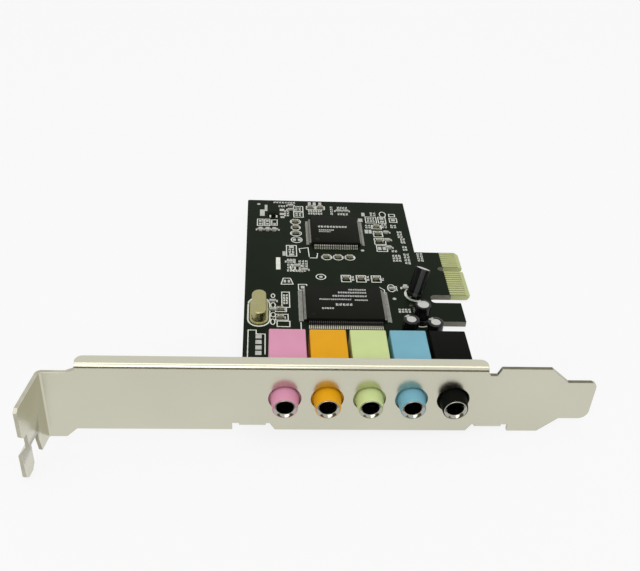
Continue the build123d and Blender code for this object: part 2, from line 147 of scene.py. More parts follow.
def rounded_outline(half_u: float, half_v: float, corner: float, columns: int) -> tuple:
    """A rectangle with a quarter circle at each corner, walked once round.

    Args:
        half_u: half its length along the first axis.
        half_v: half its length along the second axis.
        corner: corner radius.
        columns: points in all, a multiple of four.
    Returns:
        points and outward directions, each of shape (columns, 2).
    """
    quarter = np.linspace(0.0, pi / 2, columns // 4)
    angle = (quarter[None, :] + np.arange(4)[:, None] * pi / 2).ravel()
    normal = np.column_stack([np.cos(angle), np.sin(angle)])
    side = np.repeat([[1, 1], [-1, 1], [-1, -1], [1, -1]], columns // 4, axis=0)
    return side * [half_u - corner, half_v - corner] + corner * normal, normal


def stacked_rows(half_u: float, half_v: float, corner: float, levels: list, columns: int = 32) -> np.ndarray:
    """Carry a rounded rectangle up through levels, moved in by each level's inset.

    Args:
        half_u: half length along X.
        half_v: half length along Y.
        corner: corner radius.
        levels: pairs of inset and height.
        columns: points in each row.
    Returns:
        array of shape (levels, columns, 3).
    """
    outline, normal = rounded_outline(half_u, half_v, corner, columns)
    inset, height = np.asarray(levels, float).T[:, :, None]
    flat = outline[None] - inset[..., None] * normal[None]
    return np.concatenate([flat, np.broadcast_to(height[..., None], flat.shape[:2] + (1,))], axis=-1)


def moved(surface: Surface, shift: tuple) -> Surface:
    """The surface moved by a shift."""
    return Surface(surface.points + np.asarray(shift, float), surface.faces)


def centred(rows: np.ndarray, low: np.ndarray, high: np.ndarray) -> Surface:
    """Closed rows joined and moved over the middle of a box, at their own heights."""
    return moved(loft(rows), ((low[0] + high[0]) / 2, (low[1] + high[1]) / 2, 0.0))


def merged(surfaces: list) -> Surface:
    """Several surfaces as one.

    Args:
        surfaces: the surfaces.
    Returns:
        one surface, whose corners are counted on from each surface to the next.
    """
    faces = []
    start = 0
    for surface in surfaces:
        faces += [[corner + start for corner in face] for face in surface.faces]
        start += len(surface.points)
    return Surface(np.concatenate([surface.points for surface in surfaces]), faces)


def copies(surface: Surface, places: np.ndarray, turns: np.ndarray) -> Surface:
    """Repeat a surface at places, each copy turned about Z first.

    Args:
        surface: the shape at the origin.
        places: array of shape (count, 3).
        turns: angle of each copy in radians, or one angle for all.
    Returns:
        one surface that holds all copies.
    """
    places = np.asarray(places, float)
    turn = np.broadcast_to(np.asarray(turns, float), len(places))[:, None]
    x, y, z = surface.points.T
    across = np.cos(turn) * x - np.sin(turn) * y + places[:, :1]
    along = np.sin(turn) * x + np.cos(turn) * y + places[:, 1:2]
    points = np.stack([across, along, z + places[:, 2:]], axis=-1).reshape(-1, 3)
    starts = range(0, len(points), len(surface.points))
    faces = [[corner + start for corner in face] for start in starts for face in surface.faces]
    return Surface(points, faces)


CUBE_FACES = np.array(
    [[0, 2, 3, 1], [4, 5, 7, 6], [0, 1, 5, 4], [2, 6, 7, 3], [0, 4, 6, 2], [1, 3, 7, 5]]
)


def bars(table: np.ndarray, low: float, high: float) -> Surface:
    """Flat closed bars on the board, one for each row of a table.

    Each top lies a hair above the one before, so that the tops of bars that meet rarely share a plane.

    Args:
        table: rows of centre x, centre y, half length, half width and turn in radians.
        low: height of their undersides.
        high: height of their tops.
    Returns:
        one surface that holds all bars.
    """
    table = np.asarray(table, float)
    sign = np.array([[u, v, w] for w in (0, 1) for v in (-1, 1) for u in (-1, 1)], float)
    turn = table[:, 4:5]
    along = table[:, 2:3] * sign[:, 0]
    across = table[:, 3:4] * sign[:, 1]
    x = table[:, :1] + np.cos(turn) * along - np.sin(turn) * across
    y = table[:, 1:2] + np.sin(turn) * along + np.cos(turn) * across
    hair = HAIR * (np.arange(len(table)) % HAIR_STEPS)[:, None]
    z = low + (high - low + hair) * sign[:, 2]
    faces = (CUBE_FACES[None] + 8 * np.arange(len(table))[:, None, None]).reshape(-1, 4).tolist()
    return Surface(np.stack([x, y, z], axis=-1).reshape(-1, 3), faces)


def plain_strokes(areas: list, cell: tuple, stroke: float) -> np.ndarray:
    """Fill areas with groups of two upright strokes and a level one.

    A pick from each group's place sets how long its first stroke is and where its level one lies.

    Args:
        areas: rows of centre x, centre y, half width and half height.
        cell: width and height of one group of strokes.
        stroke: half width of a stroke.
    Returns:
        rows for bars.
    """
    rows = []
    for x, y, wide, tall in areas:
        across, down = (max(round(2 * half / size), 1) for half, size in zip((wide, tall), cell))
        step_u, step_v = 2 * wide / across, 2 * tall / down
        columns = (np.arange(across) + 0.5) * step_u - wide + x
        heights = (np.arange(down) + 0.5) * step_v - tall + y
        u, v = (grid.ravel() for grid in np.meshgrid(columns, heights))
        seed = np.sin(u * PICK_WAVES[0] + v * PICK_WAVES[1]) * PICK_SPREAD
        pick = seed - np.floor(seed)
        level = np.where(pick > 0.5, 0.22, -0.22) * step_v
        zero = np.zeros(len(u))
        thick, upright = zero + stroke, zero + pi / 2
        first_length = 0.4 * step_v * (0.6 + 0.4 * pick)
        rows.append(np.column_stack([u - 0.24 * step_u, v, first_length, thick, upright]))
        rows.append(np.column_stack([u + 0.16 * step_u, v - level, zero + 0.2 * step_v, thick, upright]))
        rows.append(np.column_stack([u, v + level, zero + 0.3 * step_u, thick, zero]))
    return np.concatenate(rows)


def ellipse(centre: tuple, radii: tuple, line: float, start: float = 0.0, end: float = 360.0) -> np.ndarray:
    """Short straight bars along an ellipse or a part of one.

    Args:
        centre: its centre.
        radii: its half sizes along X and Y.
        line: half width of the line.
        start: first angle in degrees.
        end: last angle in degrees.
    Returns:
        rows for bars.
    """
    angle = np.radians(np.linspace(start, end, max(int((end - start) / 15), 4) + 1))
    x = centre[0] + radii[0] * np.cos(angle)
    y = centre[1] + radii[1] * np.sin(angle)
    return line_rows(np.column_stack([x[:-1], y[:-1], x[1:], y[1:]]), line)


def line_rows(runs: np.ndarray, line: float) -> np.ndarray:
    """Bars along straight lines.

    Args:
        runs: rows of first x, first y, last x and last y.
        line: half width of the lines.
    Returns:
        rows for bars.
    """
    span = runs[:, 2:] - runs[:, :2]
    half = np.hypot(span[:, 0], span[:, 1]) / 2 + 0.6 * line
    middle = (runs[:, 2:] + runs[:, :2]) / 2
    return np.column_stack([middle, half, np.full(len(runs), line), np.arctan2(span[:, 1], span[:, 0])])


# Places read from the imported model


def box_mm(node: str) -> tuple:
    """Lowest and highest corners of a node, in millimetres."""
    low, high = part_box(node)
    return np.array(low) / MM, np.array(high) / MM


def mesh_points(mesh: bpy.types.Mesh) -> np.ndarray:
    """Points of a mesh.

    Args:
        mesh: the mesh.
    Returns:
        array of shape (points, 3) in millimetres.
    """
    flat = np.empty(len(mesh.vertices) * 3)
    mesh.vertices.foreach_get("co", flat)
    return flat.reshape(-1, 3) / MM


def solid_boxes(node: str) -> np.ndarray:
    """Boxes of the separate solids in a node, found by spreading the lowest label over joined triangles.

    Args:
        node: name of the node.
    Returns:
        array of shape (solids, 2, 3) in millimetres, ordered along X.
    """
    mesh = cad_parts[node].data
    points = mesh_points(mesh)
    corners = np.empty(len(mesh.loops), int)
    mesh.loops.foreach_get("vertex_index", corners)
    same = np.unique(np.round(points, 3), axis=0, return_inverse=True)[1].reshape(-1)
    triangles = same[corners.reshape(-1, 3)]
    label = np.arange(same.max() + 1)
    settled = False
    while not settled:
        lower = label.copy()
        np.minimum.at(lower, triangles, label[triangles].min(axis=1)[:, None])
        settled = bool((lower == label).all())
        label = lower
    group = label[same]
    found = [points[group == name] for name in np.unique(group)]
    boxes = np.array([[part.min(axis=0), part.max(axis=0)] for part in found])
    return boxes[np.argsort(boxes[:, 0, 0])]


# Finishes


def linear(red: int, green: int, blue: int) -> tuple:
    """Turn a colour as it looks on a screen into linear light, by the usual screen curve.

    Args:
        red: red part, 0 to 255.
        green: green part, 0 to 255.
        blue: blue part, 0 to 255.
    Returns:
        the three parts, each 0 to 1.
    """
    value = np.array([red, green, blue]) / 255.0
    light = np.where(value <= 0.04045, value / 12.92, ((value + 0.055) / 1.055) ** 2.4)
    return (float(light[0]), float(light[1]), float(light[2]))


def grain_group() -> bpy.types.NodeTree:
    """Node group that gives a fine and a broad noise over a surface, both from 0 to 1.

    Returns:
        the group, made once and then shared.
    """
    name = "surface_grain"
    if name in bpy.data.node_groups:
        return bpy.data.node_groups[name]
    group = bpy.data.node_groups.new(name, "ShaderNodeTree")
    group.interface.new_socket("Vector", in_out="INPUT", socket_type="NodeSocketVector")
    for kind in ("Fine", "Broad"):
        group.interface.new_socket(f"{kind} Scale", in_out="INPUT", socket_type="NodeSocketFloat")
        group.interface.new_socket(kind, in_out="OUTPUT", socket_type="NodeSocketFloat")
    start = group.nodes.new("NodeGroupInput")
    end = group.nodes.new("NodeGroupOutput")
    for kind, detail in (("Fine", 3.0), ("Broad", 2.0)):
        noise = group.nodes.new("ShaderNodeTexNoise")
        noise.inputs["Detail"].default_value = detail
        group.links.new(start.outputs["Vector"], noise.inputs["Vector"])
        group.links.new(start.outputs[f"{kind} Scale"], noise.inputs["Scale"])
        group.links.new(noise.outputs["Fac"], end.inputs[kind])
    return group


class Shader:
    """The nodes of one material about its Principled BSDF."""

    def __init__(self, name: str) -> None:
        """Start a material with a Principled BSDF.

        Args:
            name: name of the material.
        """
        self.material = bpy.data.materials.new(name)
        self.material.use_nodes = True
        self.nodes = self.material.node_tree.nodes
        self.links = self.material.node_tree.links
        self.surface = next(node for node in self.nodes if node.type == "BSDF_PRINCIPLED")
        self.place = self.nodes.new("ShaderNodeTexCoord").outputs["Object"]

    def plain(self, values: dict) -> None:
        """Set numbers that are the same all over the surface on the shader's own sockets."""
        for name, value in values.items():
            self.surface.inputs[name].default_value = value

    def stretched(self, scale: tuple) -> Socket:
        """Object coordinates scaled differently along each axis.

        Args:
            scale: scale along X, Y and Z.
        Returns:
            socket with the coordinates.
        """
        mapping = self.nodes.new("ShaderNodeMapping")
        mapping.inputs["Scale"].default_value = scale
        self.links.new(self.place, mapping.inputs["Vector"])
        return mapping.outputs["Vector"]

    def grain(self, fine: float, broad: float, place: Socket = None) -> bpy.types.Node:
        """Place the shared grain group with this material's scales.

        Args:
            fine: scale of the fine noise, per metre.
            broad: scale of the broad noise, per metre.
            place: coordinates, or None for object coordinates.
        Returns:
            the group node.
        """
        node = self.nodes.new("ShaderNodeGroup")
        node.node_tree = grain_group()
        node.inputs["Fine Scale"].default_value = fine
        node.inputs["Broad Scale"].default_value = broad
        self.links.new(place or self.place, node.inputs["Vector"])
        return node

    def spread(self, value: Socket, low: float, high: float) -> Socket:
        """Carry the middle of a noise to a range of values.

        Args:
            value: socket with the noise.
            low: value for the noise at 0.3.
            high: value for the noise at 0.7.
        Returns:
            socket with the result.
        """
        node = self.nodes.new("ShaderNodeMapRange")
        node.inputs["From Min"].default_value = 0.3
        node.inputs["From Max"].default_value = 0.7
        node.inputs["To Min"].default_value = low
        node.inputs["To Max"].default_value = high
        self.links.new(value, node.inputs["Value"])
        return node.outputs["Result"]

    def mix(self, mask: Socket, first: object, second: object) -> Socket:
        """Mix two colours, each given as numbers or as a socket.

        Args:
            mask: nothing for the first colour, one for the second.
            first: first colour.
            second: second colour.
        Returns:
            socket with the mixed colour.
        """
        node = self.nodes.new("ShaderNodeMix")
        node.data_type = "RGBA"
        self.links.new(mask, node.inputs["Factor"])
        for socket, colour in ((node.inputs[6], first), (node.inputs[7], second)):
            if isinstance(colour, tuple):
                socket.default_value = (*colour, 1.0)
            else:
                self.links.new(colour, socket)
        return node.outputs[2]

    def math(self, operation: str, first: Socket, second: object = None) -> Socket:
        """Add one Math node.

        Args:
            operation: what the node works out.
            first: its first input.
            second: a number or a socket for its second input, or None.
        Returns:
            socket with the result.
        """
        node = self.nodes.new("ShaderNodeMath")
        node.operation = operation
        self.links.new(first, node.inputs[0])
        if isinstance(second, (int, float)):
            node.inputs[1].default_value = second
        elif second is not None:
            self.links.new(second, node.inputs[1])
        return node.outputs[0]

    def bump(self, height: Socket, depth: float, strength: float = 0.5) -> None:
        """Feed the normal from a height that changes over the surface.

        Args:
            height: socket with the height.
            depth: depth of the relief in millimetres.
            strength: how strongly it shows.
        """
        node = self.nodes.new("ShaderNodeBump")
        node.inputs["Strength"].default_value = strength
        node.inputs["Distance"].default_value = depth * MM
        self.links.new(height, node.inputs["Height"])
        self.links.new(node.outputs["Normal"], self.surface.inputs["Normal"])

    def feed(self, name: str, value: Socket) -> None:
        """Link a socket to one of the Principled BSDF's inputs."""
        self.links.new(value, self.surface.inputs[name])

    def fed(self, name: str) -> Socket:
        """The socket that is linked to one of the Principled BSDF's inputs."""
        return self.surface.inputs[name].links[0].from_socket


@dataclass(frozen=True)
class Finish:
    """A finish with a fine grain: its colour, gloss and how far they wander."""

    name: str
    colour: tuple
    roughness: float
    metallic: float = 0.0
    specular: float = 0.5
    swing: float = 0.06
    rough_swing: float = 0.06
    fine: float = 4000.0
    broad: float = 150.0
    depth: float = 0.01

    def shader(self) -> Shader:
        """Build the nodes: grain sways the colour and the gloss and gives a small bump.

        Returns:
            the shader, ready for more nodes.
        """
        shader = Shader(self.name)
        grain = shader.grain(self.fine, self.broad)
        dark = tuple(part * (1.0 - self.swing) for part in self.colour)
        light = tuple(min(part * (1.0 + self.swing), 1.0) for part in self.colour)
        shader.feed("Base Color", shader.mix(shader.spread(grain.outputs["Broad"], 0.0, 1.0), dark, light))
        low = max(self.roughness - self.rough_swing, 0.02)
        shader.feed("Roughness", shader.spread(grain.outputs["Fine"], low, self.roughness + self.rough_swing))
        shader.bump(grain.outputs["Fine"], self.depth)
        shader.plain({"Metallic": self.metallic, "Specular IOR Level": self.specular})
        return shader

    def material(self) -> bpy.types.Material:
        """The finish as a material, made once."""
        if self.name in bpy.data.materials:
            return bpy.data.materials[self.name]
        return self.shader().material


@dataclass(frozen=True)
class MetalFinish(Finish):
    """Bare or plated metal."""

    metallic: float = 1.0


@dataclass(frozen=True)
class SheetFinish(MetalFinish):
    """Plated sheet with a rolling grain along its length."""

    rolling: tuple = (90.0, 2500.0, 2500.0)
    relief: float = 0.35

    def shader(self) -> Shader:
        """Add fine lines along X to the plain finish.

        Returns:
            the shader with its bump fed by the lines.
        """
        shader = super().shader()
        lines = shader.grain(1.0, 0.4, shader.stretched(self.rolling))
        shader.bump(lines.outputs["Fine"], self.depth, self.relief)
        return shader


@dataclass(frozen=True)
class BoardFinish(Finish):
    """Black solder mask on both faces, with bare laminate at the edges and between the contacts."""

    laminate: tuple = linear(138, 137, 124)
    laminate_shade: float = 0.72
    weave: tuple = (400.0, 400.0, 9000.0)
    # The laminate walls at the finger tips, painted paler than the other walls as painted light.
    tip: tuple = linear(184, 189, 140)
    bare: tuple = linear(116, 119, 88)
    tip_start: float = -5.2
    tip_side: float = -13.0
    face_height: float = 0.7845
    edge_roughness: float = 0.4

    def shader(self) -> Shader:
        """Show the mask where a point lies on a face and the laminate elsewhere, paler at the finger tips as
        painted light.

        Returns:
            the shader.
        """
        shader = super().shader()
        mask, sheen = shader.fed("Base Color"), shader.fed("Roughness")
        split = shader.nodes.new("ShaderNodeSeparateXYZ")
        shader.links.new(shader.place, split.inputs["Vector"])
        height = shader.math("ABSOLUTE", split.outputs["Z"])
        edge = shader.math("LESS_THAN", height, self.face_height * MM)
        out = shader.math("GREATER_THAN", split.outputs["X"], self.tip_start * MM)
        far = shader.math("GREATER_THAN", split.outputs["Y"], self.tip_side * MM)
        fingers = shader.math("MULTIPLY", out, far)
        fibre = shader.grain(1.0, 0.5, shader.stretched(self.weave))
        shade = tuple(part * self.laminate_shade for part in self.laminate)
        wall = shader.mix(shader.spread(fibre.outputs["Fine"], 0.0, 1.0), shade, self.laminate)
        faces = shader.mix(fingers, mask, self.bare)
        walls = shader.mix(fingers, wall, self.tip)
        shader.feed("Base Color", shader.mix(edge, faces, walls))
        dull = shader.math("MULTIPLY", edge, self.edge_roughness)
        shader.feed("Roughness", shader.math("ADD", sheen, dull))
        return shader


@dataclass(frozen=True)
class SleeveFinish(Finish):
    """Shrink sleeve with a pale stripe that follows the mesh's own attribute; on the large can it is a
    painted highlight.
    """

    stripe: tuple = linear(170, 172, 168)

    def shader(self) -> Shader:
        """Mix the stripe into the plain finish; on the large can it is a painted highlight.

        Returns:
            the shader.
        """
        shader = super().shader()
        mark = shader.nodes.new("ShaderNodeAttribute")
        mark.attribute_name = "stripe"
        shader.feed("Base Color", shader.mix(mark.outputs["Fac"], shader.fed("Base Color"), self.stripe))
        return shader


class JackColour(Enum):
    """The five jacks and the colour of each moulding as it looks on a screen."""

    PINK = (215, 148, 174)
    ORANGE = (224, 160, 16)
    GREEN = (198, 213, 147)
    BLUE = (118, 173, 190)
    BLACK = (17, 18, 15)

    @property
    def label(self) -> str:
        """The colour's name as the nodes use it."""
        return self.name.lower()

    def finish(self) -> Finish:
        """Satin moulding in this colour, with less shine where it is black.

        Returns:
            the finish.
        """
        name = f"{self.label}_moulding_satin"
        gloss = 0.02 if self is JackColour.BLACK else 0.14
        return Finish(name, linear(*self.value), 0.45, specular=gloss, swing=0.03, fine=5000.0, depth=0.006)


MASK = BoardFinish("board_mask", linear(23, 31, 20), 0.36, specular=0.03, swing=0.12, fine=2600.0, broad=70.0)
NICKEL = SheetFinish(
    "bracket_plating", (0.60, 0.585, 0.475), 0.22, swing=0.03, rough_swing=0.04, broad=40.0, depth=0.004
)
GOLD = MetalFinish("contact_plating", (0.49, 0.515, 0.235), 0.30, swing=0.08, broad=600.0, depth=0.004)
BRIGHT = MetalFinish("bushing_plating", (0.42, 0.41, 0.36), 0.12, swing=0.03, rough_swing=0.02, depth=0.0003)
# Cut edges that look up, short of the bent tab, are painted dark: a painted reflection of a dark surround.
CUT_EDGE_PAINTED_REFLECTION = MetalFinish("bracket_cut_edge_painted_reflection", (0.18, 0.17, 0.12), 0.42, swing=0.15, broad=300.0)
PALE_EDGE = MetalFinish("bracket_side_edge", (0.5, 0.48, 0.39), 0.4, swing=0.12, broad=300.0)
STEEL = MetalFinish("screw_plating", (0.62, 0.62, 0.60), 0.24, depth=0.006)
BRONZE = MetalFinish("spring_strip", (0.60, 0.55, 0.40), 0.3, depth=0.004)
MOULD = Finish("chip_epoxy", linear(23, 24, 19), 0.5, specular=0.03, swing=0.1, fine=9000.0, depth=0.012)
MOULD_DISC = Finish("chip_polished_spot", linear(18, 18, 17), 0.25, specular=0.06, swing=0.05, depth=0.004)
TIN = MetalFinish("lead_tin_plating", (0.46, 0.46, 0.41), 0.36, swing=0.1, broad=900.0, depth=0.008)
# Tin painted nearly black: painted shade on the audio chip's front leads, which lie behind the jacks.
SHADED_TIN = MetalFinish("lead_painted_shade", (0.085, 0.08, 0.082), 0.4, swing=0.1, broad=900.0, depth=0.008)
# Solder on the audio chip's front toes and pads, painted pale and not metal: a painted highlight.
PALE_TOE = Finish("lead_toe_solder_painted_highlight", linear(208, 204, 184), 0.4, swing=0.12, broad=900.0, depth=0.008)
SOLDER = MetalFinish("solder_joint", (0.50, 0.50, 0.47), 0.25, swing=0.1, broad=700.0)
CAN = MetalFinish("crystal_plating", (0.375, 0.35, 0.17), 0.28, swing=0.05, broad=200.0, depth=0.006)
ALUMINIUM = MetalFinish("capacitor_top", (0.56, 0.56, 0.53), 0.34, swing=0.04, depth=0.006)
SLEEVE = SleeveFinish("capacitor_sleeve_gloss", linear(14, 14, 15), 0.2, specular=0.3, depth=0.006)
# The large capacitor's sleeve: its faint pale stripe is a painted highlight.
FAINT_SLEEVE = SleeveFinish(
    "capacitor_sleeve_faint", linear(10, 10, 10), 0.22, specular=0.08, depth=0.004, stripe=linear(60, 62, 60)
)
CERAMIC = Finish("capacitor_ceramic", linear(142, 138, 116), 0.5, specular=0.25, swing=0.1, broad=500.0)
FILM = Finish("resistor_glaze", linear(170, 171, 162), 0.4, specular=0.2, broad=400.0)
PRINT = Finish("white_print", linear(220, 223, 212), 0.6, swing=0.1, broad=900.0)
CHIP_PRINT = Finish("chip_faint_print", linear(198, 201, 194), 0.6, swing=0.15, broad=1500.0)


# Pieces


def make_piece(
    name: str, surface: Surface, finish: Finish, replaced: tuple = (), smooth: float = 35.0
) -> bpy.types.Object:
    """Put a surface into a mesh that rides on the card.

    Args:
        name: piece name.
        surface: closed surface in millimetres.
        finish: its finish.
        replaced: nodes that the piece stands for.
        smooth: edges sharper than this many degrees stay sharp.
    Returns:
        the new object, at the origin and unturned.
    """
    mesh = bpy.data.meshes.new(name)
    mesh.from_pydata((surface.points * MM).tolist(), [], surface.faces)
    mesh.update()
    mesh.shade_smooth()
    mesh.set_sharp_from_angle(angle=radians(smooth))
    mesh.materials.append(finish.material())
    piece = bpy.data.objects.new(name, mesh)
    bpy.context.scene.collection.objects.link(piece)
    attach(piece, BODY)
    if replaced:
        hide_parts(*replaced)
    log.info("%s: %d faces", name, len(surface.faces))
    return piece


def dress_node(node: str, finish: Finish) -> None:
    """Give a node that stays as it is a better material.

    Args:
        node: name of the node.
        finish: its finish.
    """
    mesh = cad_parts[node].data
    mesh.materials.clear()
    mesh.materials.append(finish.material())
    log.info("%s: dressed as %s", node, finish.name)


@dataclass
class Bracket:
    """The folded sheet, with its cut edges rounded a little."""

    edge: float = 0.06
    segments: int = 2
    sharp: float = 50.0
    sheet: float = 0.86
    sheet_spare: float = 1.15
    same_point: float = 0.001
    same_plane: float = 0.5
    probe: float = 0.02
    upward: float = 0.97
    tab_bend: float = -101.5

    def build(self) -> None:
        """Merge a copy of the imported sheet, join its flat triangles and round its cut edges."""
        work = bmesh.new()
        work.from_mesh(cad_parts["bracket"].data)
        bmesh.ops.remove_doubles(work, verts=work.verts, dist=self.same_point * MM)
        flat = radians(self.same_plane)
        bmesh.ops.dissolve_limit(work, angle_limit=flat, verts=work.verts, edges=work.edges)
        work.verts.index_update()
        points = np.array([vertex.co[:] for vertex in work.verts]) / MM
        faces = [[vertex.index for vertex in face.verts] for face in work.faces]
        cut = self.cut_faces(work)
        work.free()
        piece = make_piece("bracket_sheet", Surface(points, faces), NICKEL, ("bracket",))
        piece.data.materials.append(CUT_EDGE_PAINTED_REFLECTION.material())
        piece.data.materials.append(PALE_EDGE.material())
        piece.data.polygons.foreach_set("material_index", cut)
        rounding = piece.modifiers.new("cut_edges", "BEVEL")
        rounding.width = self.edge * MM
        rounding.segments = self.segments
        rounding.limit_method = "ANGLE"
        rounding.angle_limit = radians(self.sharp)
        rounding.use_clamp_overlap = True

    def cut_faces(self, work: bmesh.types.BMesh) -> list:
        """Tell the sheet's cut edges from its two rolled sides by how far it is through the metal.

        Args:
            work: the merged sheet.
        Returns:
            for each face, 0 on the rolled sides, 1 on cut edges that look up, short of the bent tab, which
            are painted dark as a painted reflection, and 2 on the other cut edges.
        """
        work.normal_update()
        work.faces.index_update()
        tree = BVHTree.FromBMesh(work)
        widest = {}
        for corners in work.calc_loop_triangles():
            first, second, third = (loop.vert.co for loop in corners)
            area = (second - first).cross(third - first).length
            index = corners[0].face.index
            if index not in widest or area > widest[index][0]:
                widest[index] = (area, (first + second + third) / 3)
        marks = []
        for face in work.faces:
            middle = widest[face.index][1]
            depth = tree.ray_cast(middle - face.normal * self.probe * MM, -face.normal)[3]
            rolled = depth is not None and depth < self.sheet * self.sheet_spare * MM
            # Cut edges that look up get the painted dark reflection.
            shaded = face.normal.z > self.upward and middle.x > self.tab_bend * MM
            marks.append(0 if rolled else 1 if shaded else 2)
        return marks


@dataclass
class AudioJack:
    """One jack: a moulded block with a barrel through the plate, and a metal bushing in its mouth."""

    colour: JackColour
    barrel_length: float = 4.16
    seat_radius: float = 2.53
    throat_radius: float = 2.0
    throat_depth: float = 17.0
    tip_radius: float = 2.75
    root_radius: float = 3.06
    bulge: float = 1.7
    nose: float = 0.12
    edge: float = 0.28
    corner: float = 0.3
    seat_gap: float = 0.02
    mouth_radius: float = 2.4
    bore_radius: float = 1.8
    columns: int = 72

    def build(self) -> None:
        """Build the moulding and the bushing, and dress the springs."""
        finish = self.colour.finish()
        make_piece(self.part("moulding"), self.moulding(), finish, (self.part("housing"),))
        replaced = (self.part("bushing"),)
        make_piece(self.part("ring"), self.bushing(), BRIGHT, replaced, smooth=40.0)
        dress_node(self.part("springs"), BRONZE)

    def part(self, name: str) -> str:
        """Full name of one of the jack's nodes or pieces."""
        return f"{self.colour.label}_jack_{name}"

    def turned(self, profile: list) -> np.ndarray:
        """Turn a profile about the jack's axis, which runs along Y through the middle of the bushing.

        Args:
            profile: pairs of radius and place along Y.
        Returns:
            array of shape (rows, columns, 3).
        """
        low, high = box_mm(self.part("bushing"))
        centre = (low + high) / 2
        return circle_rows(profile, self.columns)[..., [0, 2, 1]] + [centre[0], 0.0, centre[2]]

    def moulding(self) -> Surface:
        """Loft from the end of the throat out to the tip, back over the barrel and along the block.

        The barrel's radius grows from tip to root as one minus a power of the way left, so that it bulges.
        The block's edges follow a quarter circle at both ends.

        Returns:
            closed surface.
        """
        low, high = box_mm(self.part("housing"))
        seat_end = box_mm(self.part("bushing"))[1][1] + self.seat_gap
        tip, back = low[1], high[1]
        front = tip + self.barrel_length
        inner = [
            (self.throat_radius, tip + self.throat_depth),
            (self.throat_radius, seat_end),
            (self.seat_radius, seat_end),
            (self.seat_radius, tip + self.nose / 2),
            (self.seat_radius + 0.03, tip + 0.01),
            (self.tip_radius - self.nose, tip),
            (self.tip_radius - self.nose / 3, tip + self.nose / 3),
        ]
        way = np.linspace(0.0, 1.0, 9)
        radius = self.tip_radius + (self.root_radius - self.tip_radius) * (1 - (1 - way) ** self.bulge)
        outer = list(zip(radius, tip + self.nose + way * (front - tip - self.nose)))
        bend = np.linspace(0.0, pi / 2, 4)
        near = list(zip(self.edge * (1 - np.sin(bend)), front + self.edge * (1 - np.cos(bend))))
        far = [(inset, back + front - along) for inset, along in reversed(near)]
        half_x, half_z = (high[0] - low[0]) / 2, (high[2] - low[2]) / 2
        block = stacked_rows(half_x, half_z, self.corner, near + far, self.columns)[..., [0, 2, 1]]
        block += [(low[0] + high[0]) / 2, 0.0, (low[2] + high[2]) / 2]
        return loft(np.concatenate([self.turned(inner + outer), block]))

    def bushing(self) -> Surface:
        """Turn a closed profile with a countersunk mouth about the jack's axis.

        Returns:
            closed ring.
        """
        low, high = box_mm(self.part("bushing"))
        outer = (high[0] - low[0]) / 2
        mouth, back = low[1], high[1]
        profile = [
            (outer, back),
            (outer, mouth + 0.16),
            (outer - 0.04, mouth + 0.05),
            (outer - 0.12, mouth),
            (self.mouth_radius, mouth),
            (self.mouth_radius - 0.04, mouth + 0.03),
            (self.bore_radius + 0.12, mouth + 0.4),
            (self.bore_radius + 0.03, mouth + 0.5),
            (self.bore_radius, mouth + 0.62),
            (self.bore_radius, back),
        ]
        return loft(self.turned(profile), ring=True)


